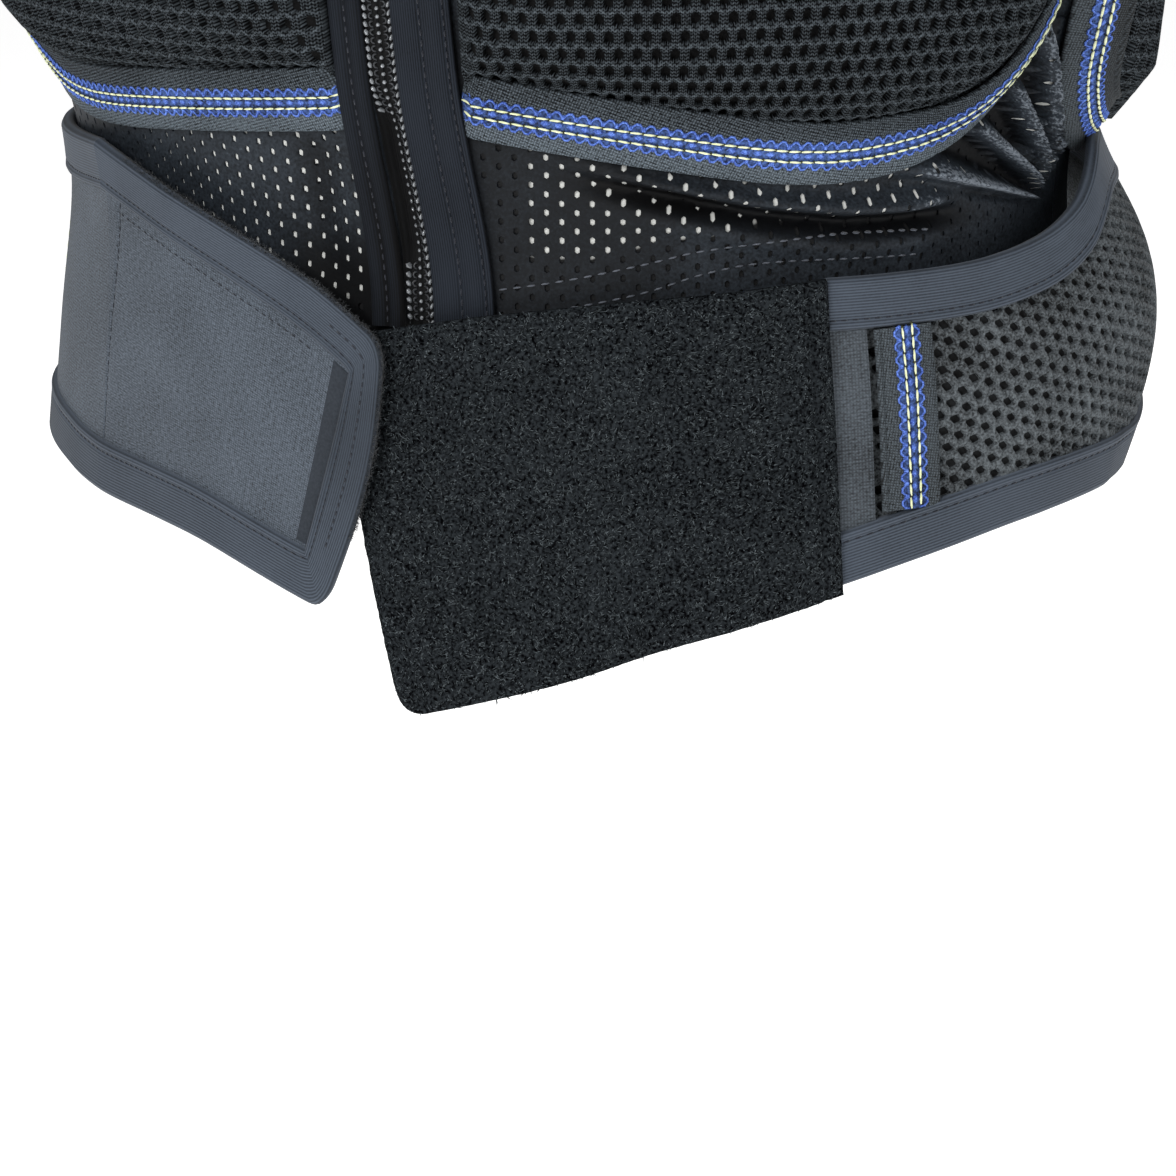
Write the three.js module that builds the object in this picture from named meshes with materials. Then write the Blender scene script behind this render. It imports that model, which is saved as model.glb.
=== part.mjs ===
// Equestrian body protector: a sleeveless vest of perforated fabric with foam pads on
// its front, sides and back, a front zip, and a broad lumbar belt that closes in front
// with a hook tab over a loop panel. Every piece is laid on one body form, so a place is
// given as an angle round the body (0 at the front, positive towards the wearer's left),
// a height above the waist, and a lift off the form. Millimetres and degrees, +Z up.
import * as THREE from "three";

// Body form, that is the inside of the vest: half width and depths at each height.
const BODY_SECTIONS = [
  { height: -200, halfWidth: 160, front: 126, back: 118 },
  { height: -120, halfWidth: 158, front: 125, back: 117 },
  { height: -60, halfWidth: 155, front: 120, back: 112 },
  { height: -15, halfWidth: 152, front: 116, back: 108 },
  { height: 20, halfWidth: 158, front: 118, back: 110 },
  { height: 60, halfWidth: 169, front: 123, back: 115 },
  { height: 130, halfWidth: 179, front: 131, back: 123 },
  { height: 200, halfWidth: 185, front: 136, back: 128 },
  { height: 255, halfWidth: 184, front: 131, back: 128 },
  { height: 305, halfWidth: 178, front: 121, back: 122 },
  { height: 350, halfWidth: 168, front: 106, back: 108 },
  { height: 380, halfWidth: 150, front: 90, back: 92 },
  { height: 402, halfWidth: 120, front: 70, back: 73 },
  { height: 420, halfWidth: 85, front: 49, back: 52 },
  { height: 432, halfWidth: 52, front: 30, back: 32 },
  { height: 438, halfWidth: 20, front: 12, back: 12 },
];
const SHOULDER_SEAT = 404; // height of the origin: the middle of the shoulder seams
const SIDE_ANGLE = 90;
const BACK_ANGLE = 180;
const FLAT_MM_PER_DEGREE = 2.5; // outlines are drawn flat at this scale
const GAP = 0.4; // between neighbouring pieces

// Vest of perforated fabric.
const FABRIC = 1.2;
const HEM_HEIGHT = -38;
const NECK = { halfWidth: 76, shoulder: 424, frontDrop: 104, backDrop: 36 };
const ARMHOLE = { armpit: 232, shoulder: 381, frontReach: 60, backReach: 46, roundness: 0.6 };
const VEST_GRID = { columns: 12, lowerRows: 9, yokeRows: 7 };
const WAIST_EASE = 1.5; // rows crowd towards the waist
const BINDING_WIDTH = 12;
const ON_FABRIC = 2.6; // lift of what is sewn on the vest
const BINDING_THICK = 1.5;

// Zip down the front.
const CHAIN_HALF = 4.4;
const CHAIN_THICK = 3;
const ZIP = { foot: -34, head: 306 };
const SLIDER = { width: 11, thick: 5, length: 15, pullWidth: 6, pullLength: 26, lift: 5 };
const ZIP_LEAN = { angle: 2.4, from: 40, to: -34 }; // its foot swings to the wearer's left
const SIDES = [
  // width of the zip facing, and height of the front pad's lower outer corner
  { name: "left", mirror: 1, facing: 17.5, padCorner: -10 },
  { name: "right", mirror: -1, facing: 9.5, padCorner: 4 },
];

// Pads and the elastic tape sewn round their rims.
const TAPE_WIDTH = 19;
const TAPE_OUTER_EDGE = 1.6;
const TAPE_PAD_EDGE = 4.0;
const PAD_SLACK = 1.2; // degrees cut off a pad's curved sides
const PAD_PROFILE = [
  // inset from the pad's edge, thickness there
  { inset: 0, thick: 4.5 },
  { inset: 4, thick: 9 },
  { inset: 12, thick: 13 },
  { inset: 26, thick: 15 },
];
const FRONT_PAD_CORNERS = [
  // the first and last rows start at the zip facing, the second is the side's own corner
  { angle: 0, height: 22.5, radius: 0 },
  { angle: 77, height: "padCorner", radius: 105 },
  { angle: 77, height: 200, radius: 60 },
  { angle: 48, height: 292, radius: 22 },
  { angle: 0, height: 302, radius: 0 },
];
const SIDE_PAD_CORNERS = [
  { angle: 106, height: 4, radius: 0 },
  { angle: 134, height: 4, radius: 26 },
  { angle: 134, height: 205, radius: 26 },
  { angle: 78.4, height: 205, radius: 26 },
  { angle: 78.4, height: 4, radius: 26 },
];
const BACK_PAD_CORNERS = [
  { angle: 180, height: 8, radius: 0 },
  { angle: 219, height: 8, radius: 45 },
  { angle: 219, height: 335, radius: 60 },
  { angle: 141, height: 335, radius: 60 },
  { angle: 141, height: 8, radius: 45 },
];

// Lumbar belt, from its left end round the back to its right end.
const BELT_BINDING = 14;
const BELT_SECTIONS = [
  // edges, lift of the outer face at each edge, extra lift between them, thickness
  { angle: 34, top: -21.5, bottom: -112, topLift: 9, bottomLift: 9, bulge: 0, thick: 4.5 },
  { angle: 44, top: -21.3, bottom: -108, topLift: 9.5, bottomLift: 9.5, bulge: 0, thick: 4.5 },
  { angle: 55, top: -21.9, bottom: -102.3, topLift: 10, bottomLift: 10, bulge: 1, thick: 5 },
  { angle: 66, top: -21.6, bottom: -98, topLift: 11, bottomLift: 11, bulge: 3, thick: 6 },
  { angle: 74, top: -18.6, bottom: -96.5, topLift: 12, bottomLift: 12, bulge: 6, thick: 7 },
  { angle: 79, top: -11, bottom: -96.2, topLift: 12.5, bottomLift: 12.5, bulge: 8.5, thick: 8 },
  { angle: 82, top: -3, bottom: -96.3, topLift: 13, bottomLift: 13, bulge: 9.5, thick: 8 },
  { angle: 86, top: 1.5, bottom: -96.3, topLift: 13, bottomLift: 13.5, bulge: 10, thick: 8 },
  { angle: 100, top: 2, bottom: -96, topLift: 13, bottomLift: 12, bulge: 12, thick: 8 },
  { angle: 115, top: 2, bottom: -95.5, topLift: 13, bottomLift: 12, bulge: 12, thick: 8 },
  { angle: 135, top: 2, bottom: -95, topLift: 12.5, bottomLift: 13, bulge: 8, thick: 8 },
  { angle: 158, top: 3, bottom: -95, topLift: 11.5, bottomLift: 12.5, bulge: 4, thick: 8 },
  { angle: 180, top: 4, bottom: -95, topLift: 10.8, bottomLift: 12, bulge: 2, thick: 8 },
  { angle: 202, top: 3, bottom: -95, topLift: 11.5, bottomLift: 12.5, bulge: 4, thick: 8 },
  { angle: 225, top: 2, bottom: -95, topLift: 11.5, bottomLift: 13, bulge: 6, thick: 8 },
  { angle: 248, top: 2, bottom: -95, topLift: 10, bottomLift: 14, bulge: 4, thick: 6.8 },
  { angle: 270, top: 3, bottom: -93.5, topLift: 7.4, bottomLift: 14, bulge: 2, thick: 4.2 },
  { angle: 290, top: 6, bottom: -92, topLift: 6.2, bottomLift: 13.5, bulge: 0, thick: 3 },
  { angle: 305, top: 9, bottom: -93, topLift: 6.2, bottomLift: 12.5, bulge: 0, thick: 3 },
  { angle: 313, top: 10, bottom: -94.5, topLift: 7.5, bottomLift: 12, bulge: 0, thick: 3 },
  { angle: 319, top: 9.6, bottom: -95.5, topLift: 10, bottomLift: 12, bulge: 0, thick: 3 },
];
const BELT_PARTS = [
  // stretches of the belt between its bindings, by angle
  { name: "belt_end_left", from: 34, to: 51.2, columns: 4, rows: 2 },
  { name: "belt_tape_left", from: 51.4, to: 58.6, columns: 2, rows: 2 },
  { name: "belt_wing_left", from: 58.8, to: 129.9, columns: 16, rows: 4 },
  { name: "belt_back", from: 130.1, to: 229.9, columns: 13, rows: 4 },
  { name: "belt_wing_right", from: 230.1, to: 276.8, columns: 8, rows: 4 },
  { name: "belt_tape_right", from: 277, to: 284.6, columns: 2, rows: 2 },
  { name: "belt_end_right", from: 284.8, to: 318.6, columns: 6, rows: 2 },
];
const LOOP_PANEL = {
  thick: 3,
  freeLift: 6.8, // free end, in front of the zip
  sewnLift: 10.6, // sewn end, on the belt
  sewnFrom: 24,
  sewnTo: 36,
  bottom: [
    { angle: 2, height: -142.5 },
    { angle: 17, height: -130.5 },
    { angle: 30, height: -118.5 },
    { angle: 46.8, height: -107.5 },
  ],
  top: [
    { angle: -7, height: -38 },
    { angle: 9, height: -29.5 },
    { angle: 27, height: -24 },
    { angle: 46.2, height: -20.8 },
  ],
};
const HOOK_TAB = {
  thick: 2.6,
  rootAngle: -41,
  rootLift: 8.4,
  tipLift: 13.4,
  inset: 14, // width of its binding, measured up the body
  tipInset: 4.6, // the same at its tip, in degrees
  bottom: [
    { angle: -41, height: -95.5 },
    { angle: -22.7, height: -99.8 },
    { angle: -6.4, height: -113.1 },
  ],
  top: [
    { angle: -41, height: 9.6 },
    { angle: -30, height: 1.8 },
    { angle: -18, height: -9.2 },
    { angle: -8, height: -21.8 },
    { angle: -0.8, height: -37 },
  ],
};
const HOOK_PATCH = { thick: 1.8, from: 0.14, to: 0.95, low: 0.06, high: 0.94 }; // shares of the tab

// Finishes.
const COLOURS = {
  mesh: "#15171b",
  spacer: "#1c1d1f",
  tape: "#2f3136",
  facing: "#1d2129",
  slate: "#3a4049",
  binding: "#2b303a",
  loop: "#181a1c",
  hook: "#101113",
  zip: "#0e0f11",
};
const cloth = Object.fromEntries(
  Object.entries(COLOURS).map(([finish, color]) => [
    finish,
    new THREE.MeshStandardMaterial({ name: finish, color, roughness: 0.9, metalness: 0 }),
  ]),
);

const { lerp, smoothstep, degToRad, radToDeg, clamp } = THREE.MathUtils;

// Body form

const widthAndFront = new THREE.CatmullRomCurve3(
  BODY_SECTIONS.map((s) => new THREE.Vector3(s.halfWidth, s.front, s.height)),
  false,
  "catmullrom",
);
const widthAndBack = new THREE.CatmullRomCurve3(
  BODY_SECTIONS.map((s) => new THREE.Vector3(s.halfWidth, s.back, s.height)),
  false,
  "catmullrom",
);

// Half width, front depth and back depth of the form at a height.
function sectionAt(height) {
  let low = 0;
  let high = 1;
  const halvings = 40;
  for (let i = 0; i < halvings; i++) {
    const middle = (low + high) / 2;
    if (widthAndFront.getPoint(middle).z < height) low = middle;
    else high = middle;
  }
  const front = widthAndFront.getPoint(low);
  return { halfWidth: front.x, front: front.y, back: widthAndBack.getPoint(low).y };
}

function formPoint(angle, height) {
  const section = sectionAt(height);
  const turn = degToRad(angle);
  const depth = Math.cos(turn) > 0 ? section.front : section.back;
  return new THREE.Vector3(section.halfWidth * Math.sin(turn), -depth * Math.cos(turn), height);
}

// The form's two tangents at a point, per degree and per millimetre of height.
function formTangents(angle, height) {
  const step = 0.2;
  const along = formPoint(angle + step, height).sub(formPoint(angle - step, height));
  const up = formPoint(angle, height + step).sub(formPoint(angle, height - step));
  return { along: along.divideScalar(2 * step), up: up.divideScalar(2 * step) };
}

function place(angle, height, lift) {
  const { along, up } = formTangents(angle, height);
  const normal = along.cross(up).normalize();
  return formPoint(angle, height).addScaledVector(normal, lift);
}

// The place a distance along and up the form from another, both in millimetres.
function shifted({ angle, height }, along, up) {
  const tangents = formTangents(angle, height);
  return {
    angle: angle + along / tangents.along.length(),
    height: height + up / tangents.up.length(),
  };
}

// Solids on the form

// A closed wall over a grid of places: columns run along the body and rows up it.
function wall({ columns, rows, at, inner, outer, ring = false }) {
  const across = ring ? columns : columns + 1;
  const positions = [];
  for (const lift of [outer, inner]) {
    for (let row = 0; row <= rows; row++) {
      for (let column = 0; column < across; column++) {
        const u = column / columns;
        const v = row / rows;
        const { angle, height } = at(u, v);
        positions.push(...place(angle, height, lift(u, v, angle, height)).toArray());
      }
    }
  }
  const layer = across * (rows + 1);
  const vertex = (column, row, side) => side * layer + row * across + (column % across);
  const index = [];
  const quad = (a, b, c, d) => index.push(a, b, c, a, c, d);
  for (let row = 0; row < rows; row++) {
    for (let column = 0; column < columns; column++) {
      const corner = (side) => [
        vertex(column, row, side),
        vertex(column + 1, row, side),
        vertex(column + 1, row + 1, side),
        vertex(column, row + 1, side),
      ];
      quad(...corner(0));
      quad(...corner(1).reverse());
    }
  }
  // Side faces, from each edge of the outer grid to the same edge of the inner one.
  const side = (a, b) => quad(vertex(...a, 0), vertex(...b, 0), vertex(...b, 1), vertex(...a, 1));
  for (let column = 0; column < columns; column++) {
    side([column + 1, 0], [column, 0]);
    side([column, rows], [column + 1, rows]);
  }
  for (let row = 0; row < rows && !ring; row++) {
    side([0, row], [0, row + 1]);
    side([columns, row + 1], [columns, row]);
  }
  const geometry = new THREE.BufferGeometry();
  geometry.setAttribute("position", new THREE.Float32BufferAttribute(positions, 3));
  geometry.setIndex(index);
  geometry.computeVertexNormals();
  return geometry;
}

// Evenly spaced places on a path with rounded corners, drawn flat.
function outline(corners, step, closed = false) {
  const flat = corners.map((c) => new THREE.Vector2(c.angle * FLAT_MM_PER_DEGREE, c.height));
  const path = new THREE.Path().moveTo(flat[0].x, flat[0].y);
  flat.forEach((corner, i) => {
    if (i === 0) return;
    const radius = corners[i].radius;
    const next = flat[(i + 1) % flat.length];
    if (!radius) {
      path.lineTo(corner.x, corner.y);
      return;
    }
    const entry = corner.clone().sub(flat[i - 1]).setLength(radius);
    const exit = next.clone().sub(corner).setLength(radius);
    path.lineTo(corner.x - entry.x, corner.y - entry.y);
    path.quadraticCurveTo(corner.x, corner.y, corner.x + exit.x, corner.y + exit.y);
  });
  if (closed) path.lineTo(flat[0].x, flat[0].y);
  const count = Math.round(path.getLength() / step);
  const places = path
    .getSpacedPoints(count)
    .map((p) => ({ angle: p.x / FLAT_MM_PER_DEGREE, height: p.y }));
  return closed ? places.slice(0, -1) : places;
}

// The place at an inset to the left of a path, at a share of its length.
function besidePath(path, share, inset, closed = false) {
  const last = closed ? path.length : path.length - 1;
  const i = Math.round(share * last);
  const wrap = (k) => (closed ? path[(k + path.length) % path.length] : path[clamp(k, 0, last)]);
  const { along, up } = formTangents(wrap(i).angle, wrap(i).height);
  const direction = new THREE.Vector2(
    (wrap(i + 1).angle - wrap(i - 1).angle) * along.length(),
    (wrap(i + 1).height - wrap(i - 1).height) * up.length(),
  ).normalize();
  return shifted(wrap(i), -direction.y * inset, direction.x * inset);
}

// A band along a path, from its outer edge to an inset on its left.
function band({ path, width, inner, outer, closed = false }) {
  return wall({
    columns: closed ? path.length : path.length - 1,
    rows: 1,
    ring: closed,
    at: (u, v) => besidePath(path, u, v * width, closed),
    inner,
    outer,
  });
}

// Lowest and highest place of a closed outline at an angle.
function spanAt(polygon, angle) {
  const heights = [];
  polygon.forEach((p, i) => {
    const q = polygon[(i + 1) % polygon.length];
    const low = Math.min(p.angle, q.angle);
    const high = Math.max(p.angle, q.angle);
    if (angle < low - 1e-6 || angle > high + 1e-6) return;
    const share = high - low < 1e-6 ? 0 : (angle - p.angle) / (q.angle - p.angle);
    heights.push(lerp(p.height, q.height, clamp(share, 0, 1)));
  });
  return { low: Math.min(...heights), high: Math.max(...heights) };
}

// Distance in millimetres from a place to a closed outline.
function distanceToEdge(polygon, { angle, height }) {
  const { along, up } = formTangents(angle, height);
  const flat = (p) => new THREE.Vector3(p.angle * along.length(), p.height * up.length(), 0);
  const here = flat({ angle, height });
  const nearest = new THREE.Vector3();
  const distances = polygon.map((p, i) => {
    const edge = new THREE.Line3(flat(p), flat(polygon[(i + 1) % polygon.length]));
    return edge.closestPointToPoint(here, true, nearest).distanceTo(here);
  });
  return Math.min(...distances);
}

// Shares of a length at the pad profile's insets from both ends, and evenly between them.
function stations(length, step) {
  const insets = PAD_PROFILE.map((p) => p.inset);
  const deepest = insets[insets.length - 1];
  const between = Math.max(1, Math.round((length - 2 * deepest) / step));
  const middle = Array.from({ length: between - 1 }, (_, i) =>
    lerp(deepest, length - deepest, (i + 1) / between),
  );
  const mirrored = insets.map((inset) => length - inset).reverse();
  return [...insets, ...middle, ...mirrored].map((distance) => distance / length);
}

function padThickness(inset) {
  const i = PAD_PROFILE.findIndex((p) => p.inset >= inset);
  if (i === 0) return PAD_PROFILE[0].thick;
  if (i < 0) return PAD_PROFILE[PAD_PROFILE.length - 1].thick;
  const [a, b] = [PAD_PROFILE[i - 1], PAD_PROFILE[i]];
  return lerp(a.thick, b.thick, (inset - a.inset) / (b.inset - a.inset));
}

// An outline with its sides cut straight, a little inside its first and last angles.
function straightSided(polygon, fromSlack, toSlack) {
  const angles = polygon.map((p) => p.angle);
  const from = Math.min(...angles) + fromSlack;
  const to = Math.max(...angles) - toSlack;
  return polygon.map(({ angle, height }) => ({ angle: clamp(angle, from, to), height }));
}

// A foam pad that fills a closed outline, thin at its edge and full inside.
function pad(polygon, { columnStep, rowStep }) {
  const angles = polygon.map((p) => p.angle);
  const [from, to] = [Math.min(...angles), Math.max(...angles)];
  const heights = polygon.map((p) => p.height);
  const tall = Math.max(...heights) - Math.min(...heights);
  const columnShares = stations((to - from) * FLAT_MM_PER_DEGREE, columnStep);
  const rowShares = stations(tall, rowStep);
  const columns = columnShares.length - 1;
  const rows = rowShares.length - 1;
  const spans = columnShares.map((share) => spanAt(polygon, lerp(from, to, share)));
  return wall({
    columns,
    rows,
    at: (u, v) => {
      const column = Math.round(u * columns);
      const { low, high } = spans[column];
      return {
        angle: lerp(from, to, columnShares[column]),
        height: lerp(low, high, rowShares[Math.round(v * rows)]),
      };
    },
    inner: () => ON_FABRIC + GAP,
    outer: (u, v, angle, height) => ON_FABRIC + padThickness(distanceToEdge(polygon, { angle, height })),
  });
}

// A smooth curve through a short table of places, by share of its length.
function curveThrough(places) {
  const curve = new THREE.SplineCurve(
    places.map((p) => new THREE.Vector2(p.angle * FLAT_MM_PER_DEGREE, p.height)),
  );
  return (share) => {
    const p = curve.getPoint(share);
    return { angle: p.x / FLAT_MM_PER_DEGREE, height: p.y };
  };
}

const between = (a, b, share) => ({
  angle: lerp(a.angle, b.angle, share),
  height: lerp(a.height, b.height, share),
});

const tapeOuter = (u, v) => ON_FABRIC + lerp(TAPE_OUTER_EDGE, TAPE_PAD_EDGE, v);
const onFabric = () => ON_FABRIC;

const root = new THREE.Group();
root.position.z = -SHOULDER_SEAT;
const halves = Object.fromEntries(
  SIDES.map((side) => {
    const half = new THREE.Group();
    half.scale.x = side.mirror;
    root.add(half);
    return [side.name, half];
  }),
);

function add(parent, name, geometry, material) {
  const mesh = new THREE.Mesh(geometry, material.clone());
  mesh.name = name;
  parent.add(mesh);
}

// Vest

// The angle of the zip's middle at a height, and of the places beside it.
const zipMiddle = (height, mirror) =>
  mirror * ZIP_LEAN.angle * smoothstep(ZIP_LEAN.from - height, 0, ZIP_LEAN.from - ZIP_LEAN.to);
const besideZip = (height, mirror, distance) =>
  shifted({ angle: zipMiddle(height, mirror), height }, distance, 0);
const zipEdge = (height, mirror) => besideZip(height, mirror, CHAIN_HALF + GAP).angle;

// A point of the neckline, from the middle of the body to the shoulder seam.
function neckline(share, back) {
  const turn = degToRad(lerp(0, 90, share));
  const drop = back ? NECK.backDrop : NECK.frontDrop;
  const height = NECK.shoulder - drop * Math.cos(turn);
  const out = NECK.halfWidth * Math.sin(turn);
  const angle = radToDeg(Math.asin(clamp(out / sectionAt(height).halfWidth, 0, 1)));
  const middle = back ? GAP / 2 : zipEdge(height, 1);
  const near = share === 1 ? SIDE_ANGLE : Math.max(angle, middle);
  return { angle: back ? BACK_ANGLE - near : near, height };
}

// A point of the armhole, from the armpit to the shoulder seam.
function armhole(share, back) {
  const height = lerp(ARMHOLE.armpit, ARMHOLE.shoulder, share);
  const section = sectionAt(height);
  const bow = Math.max(0, Math.sin(Math.PI * share)) ** ARMHOLE.roundness;
  const reach = (back ? ARMHOLE.backReach : ARMHOLE.frontReach) * bow;
  const angle = radToDeg(Math.acos(reach / (back ? section.back : section.front)));
  return { angle: back ? BACK_ANGLE - angle : angle, height };
}

// Shares of the yoke's rows, closest together at the armpit and the shoulder seam.
const easedShare = (step, steps) => (1 - Math.cos((Math.PI * step) / steps)) / 2;
const yokeShare = (row) => easedShare(row, VEST_GRID.yokeRows);

// One quarter of the vest, from the zip or the middle of the back to the side seam.
function vestPanel(back, mirror) {
  const { columns, lowerRows, yokeRows } = VEST_GRID;
  const seam = GAP / 4;
  const heightShare = (row) => (row / lowerRows) ** WAIST_EASE;
  const middleEdge = (row) => {
    if (row >= lowerRows) return neckline(yokeShare(row - lowerRows), back);
    const start = neckline(0, back);
    const height = lerp(HEM_HEIGHT, start.height, heightShare(row));
    return { angle: back ? start.angle : zipEdge(height, mirror), height };
  };
  const sideEdge = (row) => {
    if (row >= lowerRows) return armhole(yokeShare(row - lowerRows), back);
    return { angle: SIDE_ANGLE, height: lerp(HEM_HEIGHT, ARMHOLE.armpit, heightShare(row)) };
  };
  const rows = lowerRows + yokeRows;
  return wall({
    columns,
    rows,
    at: (u, v) => {
      const row = Math.round(v * rows);
      const edges = back ? [sideEdge(row), middleEdge(row)] : [middleEdge(row), sideEdge(row)];
      const { angle, height } = between(...edges, u);
      const clear = back ? Math.max(angle, SIDE_ANGLE + seam) : Math.min(angle, SIDE_ANGLE - seam);
      return { angle: clear, height };
    },
    inner: () => 0,
    outer: () => FABRIC,
  });
}

// The neckline's binding from the zip over the shoulder to the middle of the back.
function neckBinding() {
  const last = VEST_GRID.yokeRows;
  const front = Array.from({ length: last + 1 }, (_, i) => neckline(yokeShare(i), false));
  const back = Array.from({ length: last }, (_, i) => neckline(yokeShare(last - 1 - i), true));
  return band({
    path: [...front, ...back].reverse(),
    width: BINDING_WIDTH,
    inner: onFabric,
    outer: () => ON_FABRIC + BINDING_THICK,
  });
}

function armholeBinding() {
  const steps = 14;
  const front = Array.from({ length: steps }, (_, i) => armhole(easedShare(i, steps), false));
  const back = Array.from({ length: steps }, (_, i) => armhole(1 - easedShare(i, steps), true));
  return band({
    path: [...front, ...back],
    width: BINDING_WIDTH,
    inner: onFabric,
    outer: () => ON_FABRIC + BINDING_THICK,
    closed: true,
  });
}

for (const { name, mirror } of SIDES) {
  add(halves[name], `vest_front_${name}`, vestPanel(false, mirror), cloth.mesh);
  add(halves[name], `vest_back_${name}`, vestPanel(true, mirror), cloth.mesh);
  add(halves[name], `neck_binding_${name}`, neckBinding(), cloth.binding);
  add(halves[name], `armhole_binding_${name}`, armholeBinding(), cloth.binding);
}

// Zip

// A strip beside the zip's middle, between two distances from it.
function zipStrip(mirror, from, to, inner, outer) {
  const rows = 16;
  return wall({
    columns: 1,
    rows,
    at: (u, v) => besideZip(lerp(ZIP.foot, ZIP.head, v), mirror, lerp(from, to, u)),
    inner: () => inner,
    outer: () => outer,
  });
}

// Slider and pull as one flat piece in front of the chain's head.
function slider() {
  const shape = new THREE.Shape();
  const half = SLIDER.width / 2;
  const neck = SLIDER.pullWidth / 2;
  shape.moveTo(-half, SLIDER.length).lineTo(-half, SLIDER.length * 0.3).lineTo(-neck, 0);
  shape.lineTo(-neck, -SLIDER.pullLength + neck);
  shape.absarc(0, -SLIDER.pullLength + neck, neck, Math.PI, 2 * Math.PI, false);
  shape.lineTo(neck, 0).lineTo(half, SLIDER.length * 0.3).lineTo(half, SLIDER.length);
  return new THREE.ExtrudeGeometry(shape, { depth: SLIDER.thick, bevelEnabled: false, curveSegments: 8 });
}

for (const { name, mirror, facing } of SIDES) {
  const near = CHAIN_HALF + GAP;
  const chain = zipStrip(mirror, GAP / 2, CHAIN_HALF, 0.5, CHAIN_THICK);
  add(halves[name], `zip_chain_${name}`, chain, cloth.zip);
  const strip = zipStrip(mirror, near, near + facing, ON_FABRIC, ON_FABRIC + BINDING_THICK);
  add(halves[name], `zip_facing_${name}`, strip, cloth.facing);
}
const sliderGroup = new THREE.Group();
const sliderBase = ZIP.head - SLIDER.length;
const sliderLow = place(0, sliderBase - SLIDER.pullLength, SLIDER.lift);
const sliderHigh = place(0, ZIP.head, SLIDER.lift);
const pullShare = SLIDER.pullLength / (SLIDER.pullLength + SLIDER.length);
sliderGroup.position.lerpVectors(sliderLow, sliderHigh, pullShare);
sliderGroup.rotation.x = Math.PI / 2 - Math.atan2(sliderHigh.y - sliderLow.y, sliderHigh.z - sliderLow.z);
add(sliderGroup, "zip_slider", slider(), cloth.zip);
root.add(sliderGroup);

// Pads

const tapeStep = 16;
for (const { name, mirror, facing, padCorner } of SIDES) {
  const lowest = FRONT_PAD_CORNERS[0].height;
  const zipSide = besideZip(lowest, mirror, CHAIN_HALF + facing + 3 * GAP).angle;
  const frontCorners = FRONT_PAD_CORNERS.map(({ angle, height, radius }) => ({
    angle: Math.max(angle, zipSide),
    height: height === "padCorner" ? padCorner : height,
    radius,
  }));
  const frontEdge = outline(frontCorners, tapeStep);
  const frontInside = frontEdge.map((_, i) =>
    besidePath(frontEdge, i / (frontEdge.length - 1), TAPE_WIDTH + 2 * GAP),
  );
  const lastPlace = frontInside.length - 1;
  const frontClear = frontInside.map(({ angle, height }, i) => ({
    angle: i === 0 || i === lastPlace ? zipSide : Math.max(angle, zipSide),
    height,
  }));
  const frontPad = straightSided(frontClear, 0, PAD_SLACK);
  const tape = { width: TAPE_WIDTH, inner: onFabric, outer: tapeOuter };
  add(halves[name], `front_tape_${name}`, band({ path: frontEdge, ...tape }), cloth.tape);
  add(halves[name], `front_pad_${name}`, pad(frontPad, { columnStep: 20, rowStep: 34 }), cloth.spacer);

  const sideEdge = outline(SIDE_PAD_CORNERS, tapeStep, true);
  const sideInside = sideEdge.map((_, i) =>
    besidePath(sideEdge, i / sideEdge.length, TAPE_WIDTH + 2 * GAP, true),
  );
  add(halves[name], `side_tape_${name}`, band({ path: sideEdge, ...tape, closed: true }), cloth.tape);
  const sidePad = straightSided(sideInside, PAD_SLACK, PAD_SLACK);
  add(halves[name], `side_pad_${name}`, pad(sidePad, { columnStep: 16, rowStep: 30 }), cloth.spacer);
}
const backEdge = outline(BACK_PAD_CORNERS, 1.2 * tapeStep, true);
const backInside = backEdge.map((_, i) =>
  besidePath(backEdge, i / backEdge.length, TAPE_WIDTH + 2 * GAP, true),
);
const backTape = { path: backEdge, width: TAPE_WIDTH, inner: onFabric, outer: tapeOuter, closed: true };
add(root, "back_tape", band(backTape), cloth.tape);
const backPad = straightSided(backInside, PAD_SLACK, PAD_SLACK);
add(root, "back_pad", pad(backPad, { columnStep: 18, rowStep: 28 }), cloth.spacer);

// Belt

const beltCurve = (column) => {
  const curve = new THREE.SplineCurve(
    BELT_SECTIONS.map((s) => new THREE.Vector2(s.angle, s[column])),
  );
  const samples = curve.getPoints(12 * BELT_SECTIONS.length);
  return (angle) => {
    const i = clamp(samples.findIndex((p) => p.x >= angle), 1, samples.length - 1);
    const [a, b] = [samples[i - 1], samples[i]];
    return lerp(a.y, b.y, clamp((angle - a.x) / (b.x - a.x), 0, 1));
  };
};
const belt = Object.fromEntries(
  Object.keys(BELT_SECTIONS[0]).map((column) => [column, beltCurve(column)]),
);

// Lift of the belt's outer face, fullest between its edges.
function beltOuter(u, v, angle, height) {
  const [low, high] = [belt.bottom(angle), belt.top(angle)];
  const share = clamp((height - low) / (high - low), 0, 1);
  const straight = lerp(belt.bottomLift(angle), belt.topLift(angle), share);
  return straight + belt.bulge(angle) * Math.sin(Math.PI * share);
}
const beltInner = (u, v, angle, height) => beltOuter(u, v, angle, height) - belt.thick(angle);

// A stretch of belt between two edges, or its whole length where no angles are given.
function beltStretch({ from, to, columns, rows }, low, high) {
  return wall({
    columns,
    rows,
    at: (u, v) => {
      const angle = from === undefined ? beltStops[Math.round(u * columns)] : lerp(from, to, u);
      return { angle, height: lerp(low(angle), high(angle), v) };
    },
    inner: beltInner,
    outer: beltOuter,
  });
}

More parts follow.
